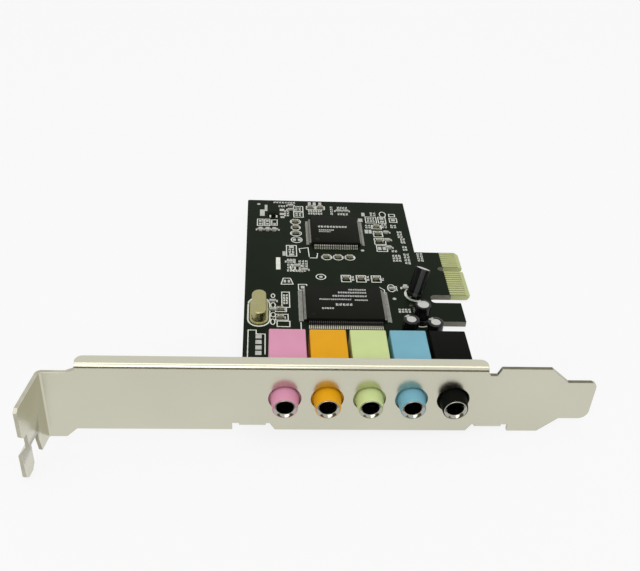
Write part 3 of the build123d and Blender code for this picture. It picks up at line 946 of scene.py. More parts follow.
@dataclass
class FlatChip:
    """A flat moulded chip with gull-wing leads on four sides.

    Each print row is a first x, a last x, a y and a height, measured from the middle of the top.
    """

    name: str
    leads_x: int
    leads_y: int
    pitch: float
    lead_width: float
    print_rows: tuple
    # Finish of the front row of leads; the audio chip's is SHADED_TIN, a painted shade.
    front: Finish = TIN
    # Finish of the front toes and their pads; the audio chip's is PALE_TOE, a painted highlight.
    toe: Finish = SOLDER
    front_pad: float = 0.0
    corner: float = 0.7
    seam: float = 0.65
    draft: float = 0.1
    lead_thickness: float = 0.13
    shoulder_share: float = 0.24
    bends: float = 0.42
    pad_half: float = 0.55
    pad_back: float = 0.3
    pad_margin: float = 0.03
    spot_radius: float = 0.62
    spot_inset: float = 1.7

    def build(self) -> None:
        """Build the body, the leads, their pads and the faint marks."""
        make_piece(f"{self.name}_mould", self.body(), MOULD, (f"{self.name}_body",))
        places, turns, reach = self.lead_places()
        lead = self.lead(reach)
        near = turns < 0.0
        others = copies(lead, places[~near], turns[~near])
        make_piece(f"{self.name}_fine_leads", others, TIN, (f"{self.name}_leads",), smooth=40.0)
        front = copies(lead, places[near], turns[near])
        piece = make_piece(f"{self.name}_front_leads", front, self.front, smooth=40.0)
        self.mark_toes(piece.data, places[near][0, 1] - self.toe_start(reach))
        pads = self.pads(places, turns, reach)
        levels = (BOARD_TOP, BOARD_TOP + PAD_HEIGHT)
        make_piece(f"{self.name}_pads", bars(pads[~near], *levels), SOLDER)
        make_piece(f"{self.name}_front_pads", bars(pads[near], *levels), self.toe)
        make_piece(f"{self.name}_corner_spot", self.spot(), MOULD_DISC)
        make_piece(f"{self.name}_marks", self.marks(), CHIP_PRINT)

    def pads(self, places: np.ndarray, turns: np.ndarray, reach: float) -> np.ndarray:
        """A pad under each lead's foot, longer at its outer end on the front side.

        Args:
            places: where the leads leave the body.
            turns: the leads' turns in radians.
            reach: length from the body to a lead's toe.
        Returns:
            rows for bars.
        """
        spare = np.where(turns < 0.0, self.front_pad / 2, 0.0)
        out = np.column_stack([np.cos(turns), np.sin(turns)]) * (reach - self.pad_back + spare)[:, None]
        half_width = np.full(len(places), self.lead_width / 2 + self.pad_margin)
        return np.column_stack([places[:, :2] + out, self.pad_half + spare, half_width, turns])

    def body(self) -> Surface:
        """Carry the rounded outline up from the underside to the seam and in again to the top.

        Returns:
            closed body.
        """
        low, high = box_mm(f"{self.name}_body")
        half = (high - low) / 2
        seam = low[2] + self.seam
        levels = [
            (self.draft + 0.08, low[2]),
            (self.draft, low[2] + 0.06),
            (0.0, seam - 0.02),
            (0.0, seam + 0.02),
            (self.draft, high[2] - 0.07),
            (self.draft + 0.02, high[2] - 0.02),
            (self.draft + 0.08, high[2]),
        ]
        return centred(stacked_rows(half[0], half[1], self.corner, levels, 24), low, high)

    def lead_places(self) -> tuple:
        """Where each lead leaves the body.

        Returns:
            places at the body's sides, turns in radians, and how far the leads reach.
        """
        low, high = box_mm(f"{self.name}_body")
        out_low = box_mm(f"{self.name}_leads")[0]
        centre = (low + high) / 2
        half = (high - low) / 2
        reach = low[0] - out_low[0]
        seam = low[2] + self.seam
        along_x = (np.arange(self.leads_x) - (self.leads_x - 1) / 2) * self.pitch
        along_y = (np.arange(self.leads_y) - (self.leads_y - 1) / 2) * self.pitch
        sides = [
            (half[0] + 0 * along_y, along_y, 0.0),
            (along_x, half[1] + 0 * along_x, pi / 2),
            (-half[0] + 0 * along_y, along_y, pi),
            (along_x, -half[1] + 0 * along_x, -pi / 2),
        ]
        x = np.concatenate([side[0] for side in sides]) + centre[0]
        y = np.concatenate([side[1] for side in sides]) + centre[1]
        turns = np.concatenate([np.full(len(side[0]), side[2]) for side in sides])
        return np.column_stack([x, y, np.full(len(x), seam)]), turns, reach

    def lead(self, reach: float) -> Surface:
        """Carry a small rectangle along a path that leaves the body, bends down and runs out on the board.

        Args:
            reach: length from the body to the lead's toe.
        Returns:
            closed lead that points along +X, at the height of the body's seam.
        """
        low = box_mm(f"{self.name}_body")[0]
        drop = BOARD_TOP + PAD_HEIGHT + self.lead_thickness / 2 - (low[2] + self.seam)
        shoulder = reach * self.shoulder_share
        path = np.array(
            [
                (-0.12, 0.0),
                (shoulder, 0.0),
                (shoulder + 0.1, -0.04),
                (shoulder + 0.16, -0.15),
                (shoulder + 0.26, drop + 0.15),
                (shoulder + 0.32, drop + 0.04),
                (shoulder + self.bends, drop),
                (self.toe_start(reach), drop),
                (reach, drop),
            ]
        )
        along = np.gradient(path, axis=0)
        along /= np.linalg.norm(along, axis=1)[:, None]
        up = np.column_stack([-along[:, 1], along[:, 0]]) * self.lead_thickness / 2
        half = np.full(len(path), self.lead_width / 2)
        corners = [(1, 1), (-1, 1), (-1, -1), (1, -1)]
        rows = [
            np.column_stack([path[:, 0] + side * up[:, 0], half * way, path[:, 1] + side * up[:, 1]])
            for way, side in corners
        ]
        return loft(np.stack(rows, axis=1))

    def toe_start(self, reach: float) -> float:
        """Where a lead's soldered toe starts: halfway along its foot, which starts after the bends."""
        return (reach * (1 + self.shoulder_share) + self.bends) / 2

    def mark_toes(self, mesh: bpy.types.Mesh, limit: float) -> None:
        """Give the front leads' faces whose middles lie beyond a limit in Y the finish of the toes.

        Args:
            mesh: mesh of the front leads.
            limit: where the toes start, in millimetres along Y.
        """
        mesh.materials.append(self.toe.material())
        middles = np.empty(len(mesh.polygons) * 3)
        mesh.polygons.foreach_get("center", middles)
        mesh.polygons.foreach_set("material_index", (middles[1::3] < limit * MM).astype(np.int32))

    def spot(self) -> Surface:
        """A polished round spot near one corner of the top.

        Returns:
            closed disc.
        """
        low, high = box_mm(f"{self.name}_body")
        radius, top = self.spot_radius, high[2]
        rows = circle_rows([(radius, top - 0.02), (radius, top + 0.008), (radius - 0.07, top + 0.012)], 32)
        return moved(loft(rows), (low[0] + self.spot_inset, low[1] + self.spot_inset, 0.0))

    def marks(self) -> Surface:
        """Faint plain strokes in rows on the top, set out from the body's middle.

        Returns:
            closed bars.
        """
        low, high = box_mm(f"{self.name}_body")
        x, y = ((low + high) / 2)[:2]
        table = []
        for start, end, across, tall in self.print_rows:
            area = ((start + end) / 2 + x, across + y, (end - start) / 2, tall / 2)
            table.append(plain_strokes([area], (0.72 * tall, tall), 0.11 * tall))
        return bars(np.concatenate(table), high[2] - 0.01, high[2] + 0.006)


@dataclass
class Crystal:
    """A low crystal can with rounded top edges on a flanged base."""

    edge: float = 0.55
    wall_inset: float = 0.46
    flange: float = 0.45
    top_share: float = 0.75
    columns: int = 64

    def build(self) -> None:
        """Carry a stadium outline up over the flange, the wall and the rounded top."""
        low, high = box_mm("crystal_base")
        top = box_mm("crystal_can")[1][2]
        half = (high - low) / 2
        base = low[2]
        ledge = base + self.flange
        bend = np.linspace(0.0, pi / 2, 6)
        levels = [
            (0.08, base),
            (0.0, base + 0.07),
            (0.0, ledge - 0.1),
            (0.04, ledge - 0.03),
            (0.12, ledge),
            (self.wall_inset - 0.12, ledge),
            (self.wall_inset - 0.03, ledge + 0.05),
            (self.wall_inset, ledge + 0.15),
        ]
        levels += zip(self.wall_inset + self.edge * (1 - np.cos(bend)), top - self.edge * (1 - np.sin(bend)))
        levels.append((half[0] * self.top_share, top))
        rows = stacked_rows(half[0], half[1], half[0] - 0.001, levels, self.columns)
        replaced = ("crystal_can", "crystal_base")
        make_piece("crystal_case", centred(rows, low, high), CAN, replaced)
        dress_node("crystal_leads", TIN)


@dataclass
class Can:
    """One round can: its size, its turn from the upright and the middle of its foot."""

    radius: float
    height: float
    turn: np.ndarray
    foot: np.ndarray

    def placed(self, profile: list, columns: int) -> Surface:
        """Turn a profile about the can's axis.

        Args:
            profile: pairs of radius and height above the foot.
            columns: points in each row.
        Returns:
            closed surface in the card's frame.
        """
        surface = loft(circle_rows(profile, columns))
        return Surface(surface.points @ self.turn.T + self.foot, surface.faces)


@dataclass
class Capacitors:
    """Capacitors in shrink sleeves with bare metal tops, upright unless a lean is given."""

    node: str
    # Rim widths, ordered along X; the wider first and third rims cover more of those tops in black, as
    # painted shade.
    lips: tuple = (0.8, 0.52, 0.8)
    lean: tuple = (0.0, 0.0)
    lean_radius: float = 2.0
    lean_height: float = 7.8
    stripe_and_highlight_middle: float = 0.36
    stripe_and_highlight_share: float = 0.13
    finish: SleeveFinish = SLEEVE
    columns: int = 64

    def build(self) -> None:
        """Build the sleeves with their stripe attribute, a painted highlight on the large can, and the tops.
        """
        cans = [self.leaning(box) if any(self.lean) else self.upright(box) for box in solid_boxes(self.node)]
        sleeves = merged([self.sleeve(can, lip) for can, lip in zip(cans, self.lips)])
        name, slot = f"{self.node}_sleeve", "capacitor_sleeve"
        piece = make_piece(name, sleeves, self.finish, (self.node,), smooth=50.0)
        rows = len(sleeves.points) // self.columns
        way = np.tile((np.arange(self.columns) + 0.5) / self.columns, rows)
        stripe = (np.abs(way - self.stripe_and_highlight_middle) < self.stripe_and_highlight_share / 2).astype(float)
        piece.data.attributes.new("stripe", "FLOAT", "POINT").data.foreach_set("value", stripe)
        tops = merged([self.plate(can, lip) for can, lip in zip(cans, self.lips)])
        make_piece(f"{self.node}_top", tops, ALUMINIUM)
        dress_node(f"{self.node.removesuffix('s')}_leads", TIN)

    def upright(self, box: np.ndarray) -> Can:
        """A can that fills its box.

        Args:
            box: the can's lowest and highest corners.
        Returns:
            the can.
        """
        low, high = box
        foot = np.array([(low[0] + high[0]) / 2, (low[1] + high[1]) / 2, low[2]])
        return Can((high[0] - low[0]) / 2, high[2] - low[2], np.eye(3), foot)

    def leaning(self, box: np.ndarray) -> Can:
        """A can about its leaning axis, hung from the top of its box.

        Args:
            box: the can's lowest and highest corners.
        Returns:
            the can, turned so that its own X stays level.
        """
        tilt = float(np.hypot(*self.lean))
        axis = np.array([*self.lean, np.sqrt(1 - tilt**2)])
        level = np.cross((0.0, 1.0, 0.0), axis)
        level /= np.linalg.norm(level)
        turn = np.column_stack([level, np.cross(axis, level), axis])
        middle = (box[0] + box[1]) / 2
        middle[2] = box[1][2] - self.lean_height / 2 * axis[2] - self.lean_radius * tilt
        return Can(self.lean_radius, self.lean_height, turn, middle - axis * self.lean_height / 2)

    def sleeve(self, can: Can, lip: float) -> Surface:
        """Turn the sleeve's profile: a crimped groove near the foot and a rounded lip at the top.

        Args:
            can: the can.
            lip: width of the sleeve's rim on the top.
        Returns:
            closed sleeve.
        """
        radius, top = can.radius, can.height
        profile = [
            (radius - 0.3, 0.0),
            (radius - 0.08, 0.08),
            (radius, 0.25),
            (radius, 0.75),
            (radius - 0.14, 0.95),
            (radius - 0.16, 1.1),
            (radius - 0.02, 1.35),
            (radius, 1.5),
            (radius, top - 0.35),
            (radius - 0.03, top - 0.16),
            (radius - 0.12, top - 0.04),
            (radius - lip * 0.7, top),
            (radius - lip, top - 0.05),
            (radius - lip, top - 0.14),
        ]
        return can.placed(profile, self.columns)

    def plate(self, can: Can, lip: float) -> Surface:
        """A shallow metal disc inside the lip.

        Args:
            can: the can.
            lip: width of the sleeve's rim on the top.
        Returns:
            closed disc.
        """
        radius, top = can.radius - lip, can.height
        profile = [
            (radius, top - 0.16),
            (radius, top - 0.08),
            (radius - 0.12, top - 0.04),
            (radius * 0.5, top - 0.02),
            (0.05, top - 0.015),
        ]
        return can.placed(profile, self.columns)


@dataclass
class ChipParts:
    """Chip capacitors and resistors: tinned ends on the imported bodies, with solder on their pads."""

    end: float = 0.34
    proud: float = 0.025
    pad_length: float = 0.55

    def build(self) -> None:
        """Dress the bodies and add the ends and the solder."""
        dress_node("chip_capacitors", CERAMIC)
        dress_node("chip_resistors", FILM)
        boxes = np.concatenate([solid_boxes("chip_capacitors"), solid_boxes("chip_resistors")])
        ends = merged([self.cap(box, side) for box in boxes for side in (-1, 1)])
        make_piece("chip_part_ends", ends, TIN)
        solder = merged([self.solder(box, side) for box in boxes for side in (-1, 1)])
        make_piece("chip_part_solder", solder, SOLDER)

    def frame_of(self, box: np.ndarray) -> tuple:
        """Size and place of a part, its length being the longer way.

        Args:
            box: the body's lowest and highest corners.
        Returns:
            half length, half width, centre and turn in radians.
        """
        size = box[1] - box[0]
        centre = (box[0] + box[1]) / 2
        lies_along_y = size[1] > size[0]
        half = sorted(size[:2] / 2, reverse=True)
        return half[0], half[1], centre, pi / 2 if lies_along_y else 0.0

    def cap(self, box: np.ndarray, side: int) -> Surface:
        """A rounded metal end round one end of a body.

        Args:
            box: the body's lowest and highest corners.
            side: -1 or 1.
        Returns:
            closed cap.
        """
        half_length, half_width, centre, turn = self.frame_of(box)
        low, high = box[0][2], box[1][2] + self.proud
        levels = [(0.03, low), (0.0, low + 0.05), (0.0, high - 0.06), (0.02, high - 0.02), (0.06, high)]
        rows = stacked_rows(self.end / 2, half_width + self.proud, 0.07, levels, 16)
        rows[..., 0] += side * (half_length + self.proud - self.end / 2)
        return copies(loft(rows), [(centre[0], centre[1], 0.0)], turn)

    def solder(self, box: np.ndarray, side: int) -> Surface:
        """A pad with a fillet of solder that climbs the metal end.

        Args:
            box: the body's lowest and highest corners.
            side: -1 or 1.
        Returns:
            closed fillet.
        """
        half_length, half_width, centre, turn = self.frame_of(box)
        climb = (box[1][2] - box[0][2]) * 0.55
        along = half_length + np.array([-0.3, 0.03, 0.1, 0.22, self.pad_length - 0.05, self.pad_length])
        tops = BOARD_TOP + np.array([0.03, climb, climb * 0.55, climb * 0.25, 0.04, 0.02])
        half = np.full(len(along), half_width + 0.08)
        floor = np.full(len(along), BOARD_TOP - 0.01)
        sides = [(half, tops), (-half, tops), (-half, floor), (half, floor)]
        rows = np.stack([np.column_stack([side * along, across, height]) for across, height in sides], axis=1)
        return copies(loft(rows), [(centre[0], centre[1], 0.0)], turn)


@dataclass
class Regulator:
    """A small three-lead chip."""

    corner: float = 0.15
    draft: float = 0.12

    def build(self) -> None:
        """Build the moulded body and dress the leads."""
        low, high = box_mm("regulator_body")
        half = (high - low) / 2
        middle = (low[2] + high[2]) / 2
        levels = [
            (self.draft, low[2]),
            (0.0, middle - 0.02),
            (0.0, middle + 0.02),
            (self.draft, high[2] - 0.05),
            (self.draft + 0.06, high[2]),
        ]
        body = centred(stacked_rows(half[0], half[1], self.corner, levels, 24), low, high)
        make_piece("regulator_mould", body, MOULD, ("regulator_body",))
        dress_node("regulator_leads", TIN)


@dataclass
class BracketScrews:
    """Two pan-head screws with a cross recess, through the board into the board tabs."""

    head_height: float = 1.5
    recess: float = 0.75
    arm_length: float = 1.15
    arm_width: float = 0.26
    arm_slope: float = 0.12
    shank_radius: float = 1.25
    shank_tip: float = 0.25
    dome: float = 0.45
    columns: int = 96

    def build(self) -> None:
        """Build both screws."""
        screws = merged([self.screw(box) for box in solid_boxes("bracket_screws")])
        make_piece("bracket_screw_heads", screws, STEEL, ("bracket_screws",), smooth=30.0)

    def screw(self, box: np.ndarray) -> Surface:
        """Shank and head turned about Z, with the top's height lowered smoothly inside a cross.

        Args:
            box: the screw's lowest and highest corners.
        Returns:
            closed screw.
        """
        low, high = box
        radius = (high[0] - low[0]) / 2
        seat = high[2] - self.head_height
        side = [
            (self.shank_radius - self.shank_tip, low[2]),
            (self.shank_radius, low[2] + self.shank_tip),
            (self.shank_radius, seat),
            (radius, seat),
            (radius, seat + 0.45),
            (radius - 0.06, seat + 0.75),
            (radius - 0.2, seat + 1.0),
        ]
        reach = np.linspace(radius - 0.3, 0.03, 26)
        dome = high[2] - (reach / radius) ** 2 * self.dome
        rows = circle_rows(side + list(zip(reach, dome)), self.columns)
        top = rows[len(side) :]
        x, y = np.abs(top[..., 0]), np.abs(top[..., 1])
        level_arm = np.minimum(self.arm_width - y, self.arm_length - x)
        upright_arm = np.minimum(self.arm_width - x, self.arm_length - y)
        inside = np.maximum(level_arm, upright_arm)
        top[..., 2] -= self.recess * np.clip(inside / self.arm_slope, 0.0, 1.0)
        return centred(rows, low, high)


@dataclass
class BoardPrint:
    """White print on the board: outlines, rings, lines, dots and groups of plain strokes."""

    line: float = 0.13
    stroke: float = 0.1
    cell: tuple = (0.8, 1.25)
    can_middle: tuple = (-14.8, -11.9)
    crystal_x: float = -56.3
    crystal_ends: tuple = (-23.6, -17.2)
    crystal_radius: float = 2.75

    def build(self) -> None:
        """Lay all print on the board as one piece."""
        strokes = plain_strokes(self.areas(), self.cell, self.stroke)
        table = np.concatenate([self.boxes(), self.rings(), self.lines(), self.solids(), strokes])
        surface = bars(table, BOARD_TOP - SUNK, BOARD_TOP + PRINT_HEIGHT)
        make_piece("board_print", surface, PRINT)

    def boxes(self) -> np.ndarray:
        """Outlines of small parts.

        Returns:
            rows for bars.
        """
        x, y, wide, tall = np.array(
            [
                (-56.3, 22.4, 0.82, 1.8), (-54.2, 22.4, 0.75, 1.8), (-52.1, 22.4, 0.79, 1.5),
                (-44.9, 30.4, 1.4, 1.5), (-44.9, 27.2, 1.4, 1.5), (-47.4, 7.7, 1.4, 2.7),
                (-23.3, 25.0, 1.6, 1.7), (-20.0, 25.0, 1.1, 1.7), (-16.6, 25.1, 1.1, 1.2),
                (-16.7, 27.8, 0.86, 0.7), (-22.0, 21.1, 1.4, 1.0), (-21.9, 17.3, 1.3, 1.5),
                (-21.7, 13.4, 1.6, 1.6), (-21.5, 9.7, 1.5, 1.5), (-44.8, -9.6, 1.1, 1.3),
                (-50.5, -22.6, 1.6, 1.2), (-50.1, -25.3, 1.6, 1.1), (-50.7, -19.4, 1.4, 0.9),
                (-32.9, -5.3, 1.25, 1.5), (-28.8, -5.3, 1.25, 1.5), (-24.7, -5.3, 1.25, 1.5),
                (-49.4, -15.2, 1.0, 3.3), (-41.1, 31.2, 1.3, 0.9), (-38.2, 31.2, 1.3, 0.9),
            ]
        ).T  # fmt: skip
        sides = [
            (x - wide, y - tall, x + wide, y - tall),
            (x - wide, y + tall, x + wide, y + tall),
            (x - wide, y - tall, x - wide, y + tall),
            (x + wide, y - tall, x + wide, y + tall),
        ]
        return np.concatenate([line_rows(np.column_stack(side), self.line) for side in sides])

    def rings(self) -> np.ndarray:
        """Rounded outlines, rings round the cans, thicker beside the leaning one, and the crystal's outline.

        Returns:
            rows for bars.
        """
        table = (
            (-45.9, 23.1, 1.5, 1.4), (-45.9, 19.9, 1.3, 1.3), (-45.9, 16.8, 1.6, 1.35),
            (-45.8, 13.4, 1.55, 1.5), (-47.2, -0.5, 0.7, 1.4), (-37.6, 4.8, 1.4, 1.3),
            (-34.4, 4.8, 1.4, 1.3), (-31.1, 4.8, 1.4, 1.3), (-19.5, 28.2, 0.92, 1.5),
            (-52.7, -13.6, 0.46, 0.8), (-52.7, -17.6, 0.6, 1.0), (-52.7, -21.6, 0.6, 0.9),
            (-52.8, -24.5, 0.54, 1.1), (-21.0, -9.4, 1.0, 1.6), (-39.7, -4.7, 1.3, 1.2),
            (-15.0, -23.3, 2.5, 2.5), (-18.8, -29.4, 2.5, 2.5), (-12.9, -30.4, 2.5, 2.5),
        )  # fmt: skip
        rows = [ellipse(row[:2], row[2:], self.line) for row in table]
        rows.append(ellipse(self.can_middle, (2.8, 3.1), self.line, 120.0, 300.0))
        rows.append(ellipse(self.can_middle, (2.7, 3.0), 2.6 * self.line, 165.0, 270.0))
        x, radius = self.crystal_x, self.crystal_radius
        low, high = self.crystal_ends
        thick = 1.6 * self.line
        rows.append(ellipse((x, high), (radius, radius), thick, 0.0, 180.0))
        rows.append(ellipse((x, low), (radius, radius), thick, 180.0, 360.0))
        sides = np.array([(x - radius, low, x - radius, high), (x + radius, low, x + radius, high)])
        rows.append(line_rows(sides, thick))
        return np.concatenate(rows)

    def lines(self) -> np.ndarray:
        """Straight lines round the larger parts.

        Returns:
            rows for bars.
        """
        runs = (
            (-58.9, -38.3, -58.9, -27.9), (-58.9, -27.9, -56.9, -27.9), (-56.9, -27.9, -56.9, -29.4),
            (-56.9, -29.4, -54.7, -29.4), (-54.7, -29.4, -54.7, -37.0), (-58.9, -38.3, -54.7, -38.3),
            (-45.7, -24.6, -45.7, -38.0), (-45.2, 8.8, -42.7, 9.4), (-42.7, 9.4, -42.5, 4.9),
            (-45.2, 8.8, -45.0, 6.8), (-42.3, 4.3, -40.4, 4.3), (-40.4, 4.3, -40.1, 6.6),
            (-50.5, -8.4, -47.3, -8.3), (-24.2, -9.1, -23.0, -10.2), (-23.0, -10.2, -23.1, -11.7),
            (-50.5, -8.4, -49.9, -5.6), (-49.9, -5.6, -48.0, -5.6), (-48.0, -5.6, -47.3, -8.3),
        )  # fmt: skip
        return line_rows(np.array(runs), self.line)

    def solids(self) -> np.ndarray:
        """The dotted line beside the header and the solid bar.

        Returns:
            rows for bars.
        """
        dots = np.linspace(-50.0, -42.6, 8)
        zero = np.zeros(len(dots))
        dotted = np.column_stack([zero - 54.9, dots, zero + 0.2, zero + 0.2, zero])
        return np.concatenate([dotted, [(-51.2, 1.35, 0.6, 2.9, 0.0)]])

    def areas(self) -> tuple:
        """Areas of plain strokes, as rows of centre x, centre y, half width and half height."""
        return (
            (-49.0, 34.0, 3.4, 0.6), (-48.4, 27.8, 0.84, 1.8), (-39.8, 28.7, 2.2, 1.5),
            (-47.5, 1.3, 1.3, 2.5), (-44.3, 0.8, 1.4, 2.3), (-49.8, 31.8, 1.1, 0.7),
            (-34.8, 29.9, 0.6, 2.5), (-31.5, 31.5, 1.65, 0.9), (-31.5, 27.9, 1.65, 0.8),
            (-16.9, 21.6, 1.0, 1.0), (-19.6, 21.8, 0.9, 1.4), (-15.5, 17.2, 0.8, 2.0),
            (-15.0, 13.9, 0.75, 1.5), (-14.9, 9.9, 0.74, 1.3), (-14.9, 4.7, 0.9, 2.8),
            (-17.8, 4.9, 1.3, 1.8), (-18.1, 8.4, 0.88, 0.7), (-11.1, 5.6, 1.0, 2.2),
            (-46.2, -2.0, 2.7, 0.7), (-49.4, -15.0, 0.7, 2.2), (-31.0, -5.2, 0.45, 1.2),
            (-26.9, -5.1, 0.45, 1.3), (-22.9, -5.5, 0.45, 0.9), (-19.7, -9.5, 0.5, 1.2),
            (-18.6, -19.2, 1.7, 0.95), (-22.4, 28.3, 1.0, 1.1), (-24.5, 21.3, 0.9, 1.1),
            (-23.3, 25.0, 1.2, 1.3), (-44.9, 30.4, 1.0, 1.1), (-44.9, 27.2, 1.0, 1.1),
            (-47.4, 7.7, 0.9, 1.2),
        )  # fmt: skip


@dataclass
class BoardDetails:
    """Bare pads, test spots and solder joints on the board."""

    joint_columns: int = 20
    joint_tip: float = 0.3
    joint_spread: float = 0.5
    joint_curve: float = 2.2
    joint_share: float = 0.85
    spot_radius: float = 0.5

    def build(self) -> None:
        """Dress the board and its contacts and add what lies on both faces."""
        dress_node("circuit_board", MASK)
        dress_node("front_edge_contacts", GOLD)
        dress_node("back_edge_contacts", GOLD)
        pads = bars(self.pads(), BOARD_TOP - SUNK, BOARD_TOP + PAD_HEIGHT)
        make_piece("bare_pads", pads, SOLDER)
        make_piece("test_spots", self.spots(), SOLDER)
        make_piece("solder_joints", self.joints(), SOLDER)

    def pads(self) -> np.ndarray:
        """Bare pads of empty places and the header's row of pads.

        Returns:
            rows for bars.
        """
        table = (
            (-54.6, 30.6, 0.4, 1.8), (-55.7, 27.8, 0.7, 1.8), (-56.2, 18.7, 0.5, 1.2),
            (-54.1, 18.7, 0.5, 1.2), (-52.2, 18.7, 0.5, 1.2), (-49.8, 29.6, 0.7, 0.65),
            (-49.8, 27.3, 0.7, 0.6), (-49.7, 25.5, 0.6, 0.5), (-41.4, 33.5, 0.45, 1.0),
            (-39.9, 33.5, 0.45, 1.0), (-38.2, 33.5, 0.45, 1.0), (-49.5, 6.2, 0.45, 1.1),
            (-25.4, 28.0, 0.5, 1.0), (-26.5, 24.7, 0.65, 0.95), (-19.5, 18.3, 0.5, 1.0),
            (-19.4, 14.2, 0.5, 1.0), (-19.3, 10.3, 0.5, 1.1), (-17.1, -8.6, 0.55, 1.0),
            (-16.1, -18.8, 0.26, 1.15), (-25.2, 18.5, 0.5, 1.0), (-24.1, 18.5, 0.42, 1.0),
            (-56.3, 21.6, 0.4, 0.5), (-54.2, 21.6, 0.4, 0.5), (-52.1, 21.6, 0.4, 0.5),
            (-56.3, 23.2, 0.4, 0.5), (-54.2, 23.2, 0.4, 0.5), (-46.5, 13.4, 0.45, 0.6),
            (-45.0, 13.4, 0.45, 0.6), (-47.4, 5.8, 0.7, 0.5), (-47.4, 9.6, 0.7, 0.5),
            (-20.0, 24.2, 0.6, 0.5), (-20.0, 25.8, 0.6, 0.5), (-16.6, 25.1, 0.6, 0.6),
            (-22.2, 9.7, 0.5, 0.8), (-20.8, 9.7, 0.5, 0.8), (-44.8, -9.6, 0.5, 0.6),
            (-49.5, -7.0, 0.32, 0.6), (-48.4, -7.0, 0.32, 0.6), (-56.3, -30.4, 0.75, 0.75),
            (-56.3, -32.5, 0.75, 0.75), (-56.3, -34.6, 0.75, 0.75), (-56.3, -36.6, 0.75, 0.75),
        )  # fmt: skip
        return np.column_stack([np.array(table), np.zeros(len(table))])

    def spots(self) -> Surface:
        """Round bare metal spots for lining up the board.

        Returns:
            closed discs.
        """
        radius = self.spot_radius
        profile = [
            (radius, BOARD_TOP - SUNK),
            (radius, BOARD_TOP + 0.02),
            (radius - 0.08, BOARD_TOP + PAD_HEIGHT),
        ]
        middles = ((-27.2, 8.5), (-20.7, -14.1), (-16.6, -16.7), (-56.8, 32.8), (-39.7, -4.7))
        places = [(x, y, 0.0) for x, y in middles]
        return copies(loft(circle_rows(profile, 24)), places, 0.0)

    def joints(self) -> Surface:
        """Concave cones of solder under the board round each lead that comes through.

        The radius shrinks towards the lead's end as a power of the way down.

        Returns:
            closed cones.
        """
        nodes = ["crystal_leads", "large_capacitor_leads", "small_capacitor_leads"]
        nodes += [f"{colour.label}_jack_springs" for colour in JackColour]
        boxes = np.concatenate([solid_boxes(node) for node in nodes])
        legs = self.leg_places(boxes)
        way = np.linspace(0.0, 1.0, 6)
        radius = self.joint_tip + self.joint_spread * (1 - way) ** self.joint_curve
        tall = float(BOARD_BOTTOM - boxes[:, 0, 2].max()) * self.joint_share
        profile = list(zip(radius, BOARD_BOTTOM + 0.01 - way * tall))
        places = np.column_stack([legs, np.zeros(len(legs))])
        return copies(loft(circle_rows(profile, self.joint_columns)), places, 0.0)

    def leg_places(self, boxes: np.ndarray) -> np.ndarray:
        """Where each lead comes through: a wire at its middle, a spring at the back end of its box.

        Args:
            boxes: boxes of the leads.
        Returns:
            array of shape (count, 2).
        """
        size = boxes[:, 1] - boxes[:, 0]
        middle = (boxes[:, 0] + boxes[:, 1]) / 2
        is_spring = size[:, 1] > 2.0
        back = boxes[:, 1, 1] - 0.15
        return np.column_stack([middle[:, 0], np.where(is_spring, back, middle[:, 1])])


# Studio


def studio_plane(name: str, corners: np.ndarray) -> tuple:
    """A rectangle of the studio with a material that has no nodes yet.

    Args:
        name: its name.
        corners: four corners in millimetres.
    Returns:
        the object and its material's node tree.
    """
    mesh = bpy.data.meshes.new(name)
    mesh.from_pydata((np.array(corners) * MM).tolist(), [], [[0, 1, 2, 3]])
    mesh.update()
    material = bpy.data.materials.new(f"{name}_paint")
    material.use_nodes = True
    material.node_tree.nodes.clear()
    mesh.materials.append(material)
    plane = bpy.data.objects.new(name, mesh)
    bpy.context.scene.collection.objects.link(plane)
    return plane, material.node_tree


def light_node(tree: bpy.types.NodeTree, kind: str, colour: tuple) -> Socket:
    """Add a shader node of one plain colour.

    Args:
        tree: node tree that gets the node.
        kind: kind of node.
        colour: its colour.
    Returns:
        the node's output.
    """
    node = tree.nodes.new(kind)
    node.inputs["Color"].default_value = (*colour, 1.0)
    return node.outputs[0]


def grey(level: float) -> tuple:
    """A colour whose three parts are the same."""
    return (level, level, level)


@dataclass
class MirrorCard:
    """A glowing rectangle that only mirrors see."""

    name: str
    corners: tuple
    colour: tuple

    def build(self) -> None:
        """Make the card and hide it from all but glossy rays."""
        card, tree = studio_plane(self.name, self.corners)
        glow = light_node(tree, "ShaderNodeEmission", self.colour)
        tree.links.new(glow, tree.nodes.new("ShaderNodeOutputMaterial").inputs["Surface"])
        card.visible_camera = False
        card.visible_diffuse = False
        card.visible_shadow = False


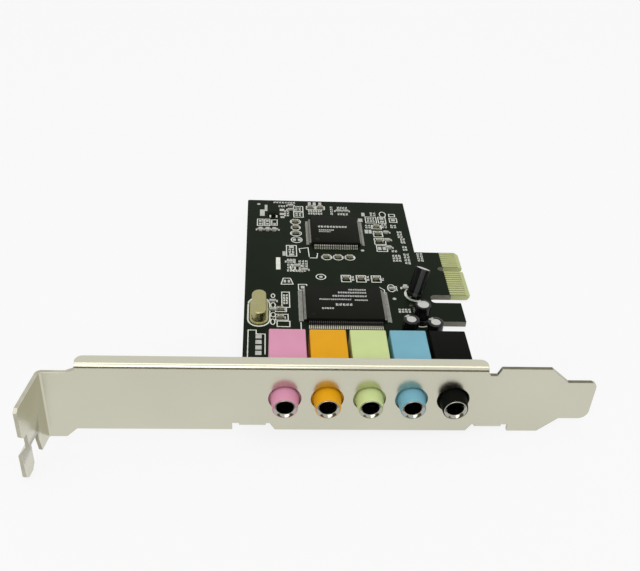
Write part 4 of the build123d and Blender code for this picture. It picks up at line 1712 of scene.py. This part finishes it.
@dataclass
class Studio:
    """Pale tilted floor, soft lights and the camera at the photograph's angle."""

    camera_place: tuple = (-56.68, -197.29, 138.245)
    pitch: float = 0.628
    yaw: float = 0.0875
    roll: float = 0.0681
    lens: float = 49.286
    sensor: float = 36.0
    nearest: float = 5.0
    floor_slope: tuple = (0.064, 0.0283)
    floor_size: float = 3000.0
    floor_gap: float = 0.02
    floor_paint: float = 0.9
    floor_white: float = 0.955
    floor_share: float = 0.9
    sky: float = 0.55
    surround: float = 0.96
    light_target: tuple = (-40.0, -20.0, 0.0)
    card_span: tuple = (-700.0, 600.0)
    front_away: float = -500.0
    front_heights: tuple = (-60.0, 260.0)
    front_colour: tuple = (0.16, 0.14, 0.09)
    strip_height: float = 900.0
    strip_reach: tuple = (-245.0, 5.0)
    strip_colour: tuple = (2.5, 2.42, 2.2)

    def build(self) -> None:
        """Make the floor, world, lights, cards and camera."""
        bpy.context.scene.view_settings.view_transform = "Standard"
        self.floor()
        self.world()
        self.lights()
        self.cards()
        self.camera()

    def seen_straight(self, tree: bpy.types.NodeTree) -> Socket:
        """One for camera, glossy and transmission rays, nothing for the others.

        Args:
            tree: node tree that gets the nodes.
        Returns:
            socket with the mask.
        """
        path = tree.nodes.new("ShaderNodeLightPath")
        seen = path.outputs["Is Camera Ray"]
        for kind in ("Glossy", "Transmission"):
            either = tree.nodes.new("ShaderNodeMath")
            either.operation = "MAXIMUM"
            tree.links.new(seen, either.inputs[0])
            tree.links.new(path.outputs[f"Is {kind} Ray"], either.inputs[1])
            seen = either.outputs[0]
        return seen

    def show(self, tree: bpy.types.NodeTree, mask: Socket, shaders: tuple, output: str) -> None:
        """Mix two shaders by a mask and link the mix to a new output node.

        Args:
            tree: node tree that gets the nodes.
            mask: nothing for the first shader, one for the second.
            shaders: outputs of the two shaders.
            output: kind of the output node.
        """
        mix = tree.nodes.new("ShaderNodeMixShader")
        for index, socket in enumerate((mask, *shaders)):
            tree.links.new(socket, mix.inputs[index])
        tree.links.new(mix.outputs[0], tree.nodes.new(output).inputs["Surface"])

    def floor(self) -> None:
        """A pale tilted plane just under the card's lowest points."""
        cloud = np.concatenate([mesh_points(node.data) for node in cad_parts.values()])
        slope = np.array(self.floor_slope)
        rest = float((cloud[:, 2] - cloud[:, :2] @ slope).min()) - self.floor_gap
        half = self.floor_size / 2
        corners = np.array([(-half, -half), (half, -half), (half, half), (-half, half)])
        floor, tree = studio_plane("studio_floor", np.column_stack([corners, rest + corners @ slope]))
        matt = light_node(tree, "ShaderNodeBsdfDiffuse", grey(self.floor_paint))
        glow = light_node(tree, "ShaderNodeEmission", grey(self.floor_white))
        share = tree.nodes.new("ShaderNodeMath")
        share.operation = "MULTIPLY"
        share.inputs[1].default_value = self.floor_share
        tree.links.new(self.seen_straight(tree), share.inputs[0])
        self.show(tree, share.outputs[0], (matt, glow), "ShaderNodeOutputMaterial")

    def world(self) -> None:
        """A white surround for what the camera and the metal see, and a softer one for plain light."""
        world = bpy.data.worlds.new("studio_surround")
        bpy.context.scene.world = world
        world.use_nodes = True
        tree = world.node_tree
        tree.nodes.clear()
        light = light_node(tree, "ShaderNodeBackground", grey(self.sky))
        white = light_node(tree, "ShaderNodeBackground", grey(self.surround))
        self.show(tree, self.seen_straight(tree), (light, white), "ShaderNodeOutputWorld")

    def lights(self) -> None:
        """Soft area lights: overhead and in front."""
        plan = (
            ("overhead_light", (-40.0, -120.0, 900.0), 900.0, 3.4),
            ("front_light", (-300.0, -750.0, 620.0), 600.0, 2.3),
        )
        for name, place, size, watts in plan:
            lamp = bpy.data.lights.new(name, "AREA")
            lamp.size = size * MM
            lamp.energy = watts
            holder = bpy.data.objects.new(name, lamp)
            holder.location = Vector(place) * MM
            aim = Vector(self.light_target) - Vector(place)
            holder.rotation_euler = aim.to_track_quat("-Z", "Y").to_euler()
            holder.visible_glossy = name != "overhead_light"
            bpy.context.scene.collection.objects.link(holder)

    def cards(self) -> None:
        """A dim card in front for the dark line under the folds, and a bright strip above for their light."""
        (left, right), away, (low, high) = self.card_span, self.front_away, self.front_heights
        front = ((left, away, low), (right, away, low), (right, away, high), (left, away, high))
        MirrorCard("studio_front_card", front, self.front_colour).build()
        (near, far), top = self.strip_reach, self.strip_height
        strip = ((left, near, top), (right, near, top), (right, far, top), (left, far, top))
        MirrorCard("studio_strip_card", strip, self.strip_colour).build()

    def camera(self) -> None:
        """The camera looks along its pitch and yaw and is then rolled about that line."""
        forward = Vector((sin(self.yaw) * cos(self.pitch), cos(self.yaw) * cos(self.pitch), -sin(self.pitch)))
        level = Vector((cos(self.yaw), -sin(self.yaw), 0.0))
        upright = level.cross(forward)
        right = level * cos(self.roll) + upright * sin(self.roll)
        up = upright * cos(self.roll) - level * sin(self.roll)
        data = bpy.data.cameras.new("photo_camera")
        data.sensor_fit = "HORIZONTAL"
        data.sensor_width = self.sensor
        data.lens = self.lens
        data.clip_start = self.nearest * MM
        holder = bpy.data.objects.new("photo_camera", data)
        turn = Matrix((right, up, -forward)).transposed().to_4x4()
        holder.matrix_world = Matrix.Translation(Vector(self.camera_place) * MM) @ turn
        bpy.context.scene.collection.objects.link(holder)
        bpy.context.scene.camera = holder


AUDIO_ROWS = (
    (1.3, 6.1, 5.4, 0.8),
    (-1.5, 6.1, 4.1, 0.9),
    (-3.0, 6.1, 2.6, 0.9),
    (-6.5, 1.9, 1.1, 0.7),
    (2.7, 6.2, 0.9, 0.7),
    (-2.4, 2.1, -1.1, 1.2),
    (-6.0, -2.8, -2.7, 0.9),
)
BRIDGE_ROWS = ((-4.9, 3.7, 1.3, 1.2), (-4.7, -0.2, -0.5, 0.8), (-4.7, -1.2, -1.4, 0.6))


def main() -> None:
    """Build each sub-assembly in order, then the studio."""
    logging.basicConfig(level=logging.INFO, format="%(name)s %(message)s")
    Bracket().build()
    for colour in JackColour:
        AudioJack(colour).build()
    # The audio chip's front leads get painted shade, and their toes and front pads a painted highlight.
    FlatChip("audio_chip", 38, 26, 0.5, 0.22, AUDIO_ROWS, SHADED_TIN, PALE_TOE, 0.45).build()
    FlatChip("bridge_chip", 24, 24, 0.52, 0.22, BRIDGE_ROWS).build()
    Regulator().build()
    Crystal().build()
    Capacitors("small_capacitors").build()
    # The large capacitor's stripe is placed and sized as a painted highlight.
    large = {"stripe_and_highlight_middle": 0.715, "stripe_and_highlight_share": 0.1, "finish": FAINT_SLEEVE}
    Capacitors("large_capacitor", (0.2,), (0.284, 0.385), **large).build()
    ChipParts().build()
    BracketScrews().build()
    BoardPrint().build()
    BoardDetails().build()
    Studio().build()


if __name__ == "__main__":
    main()
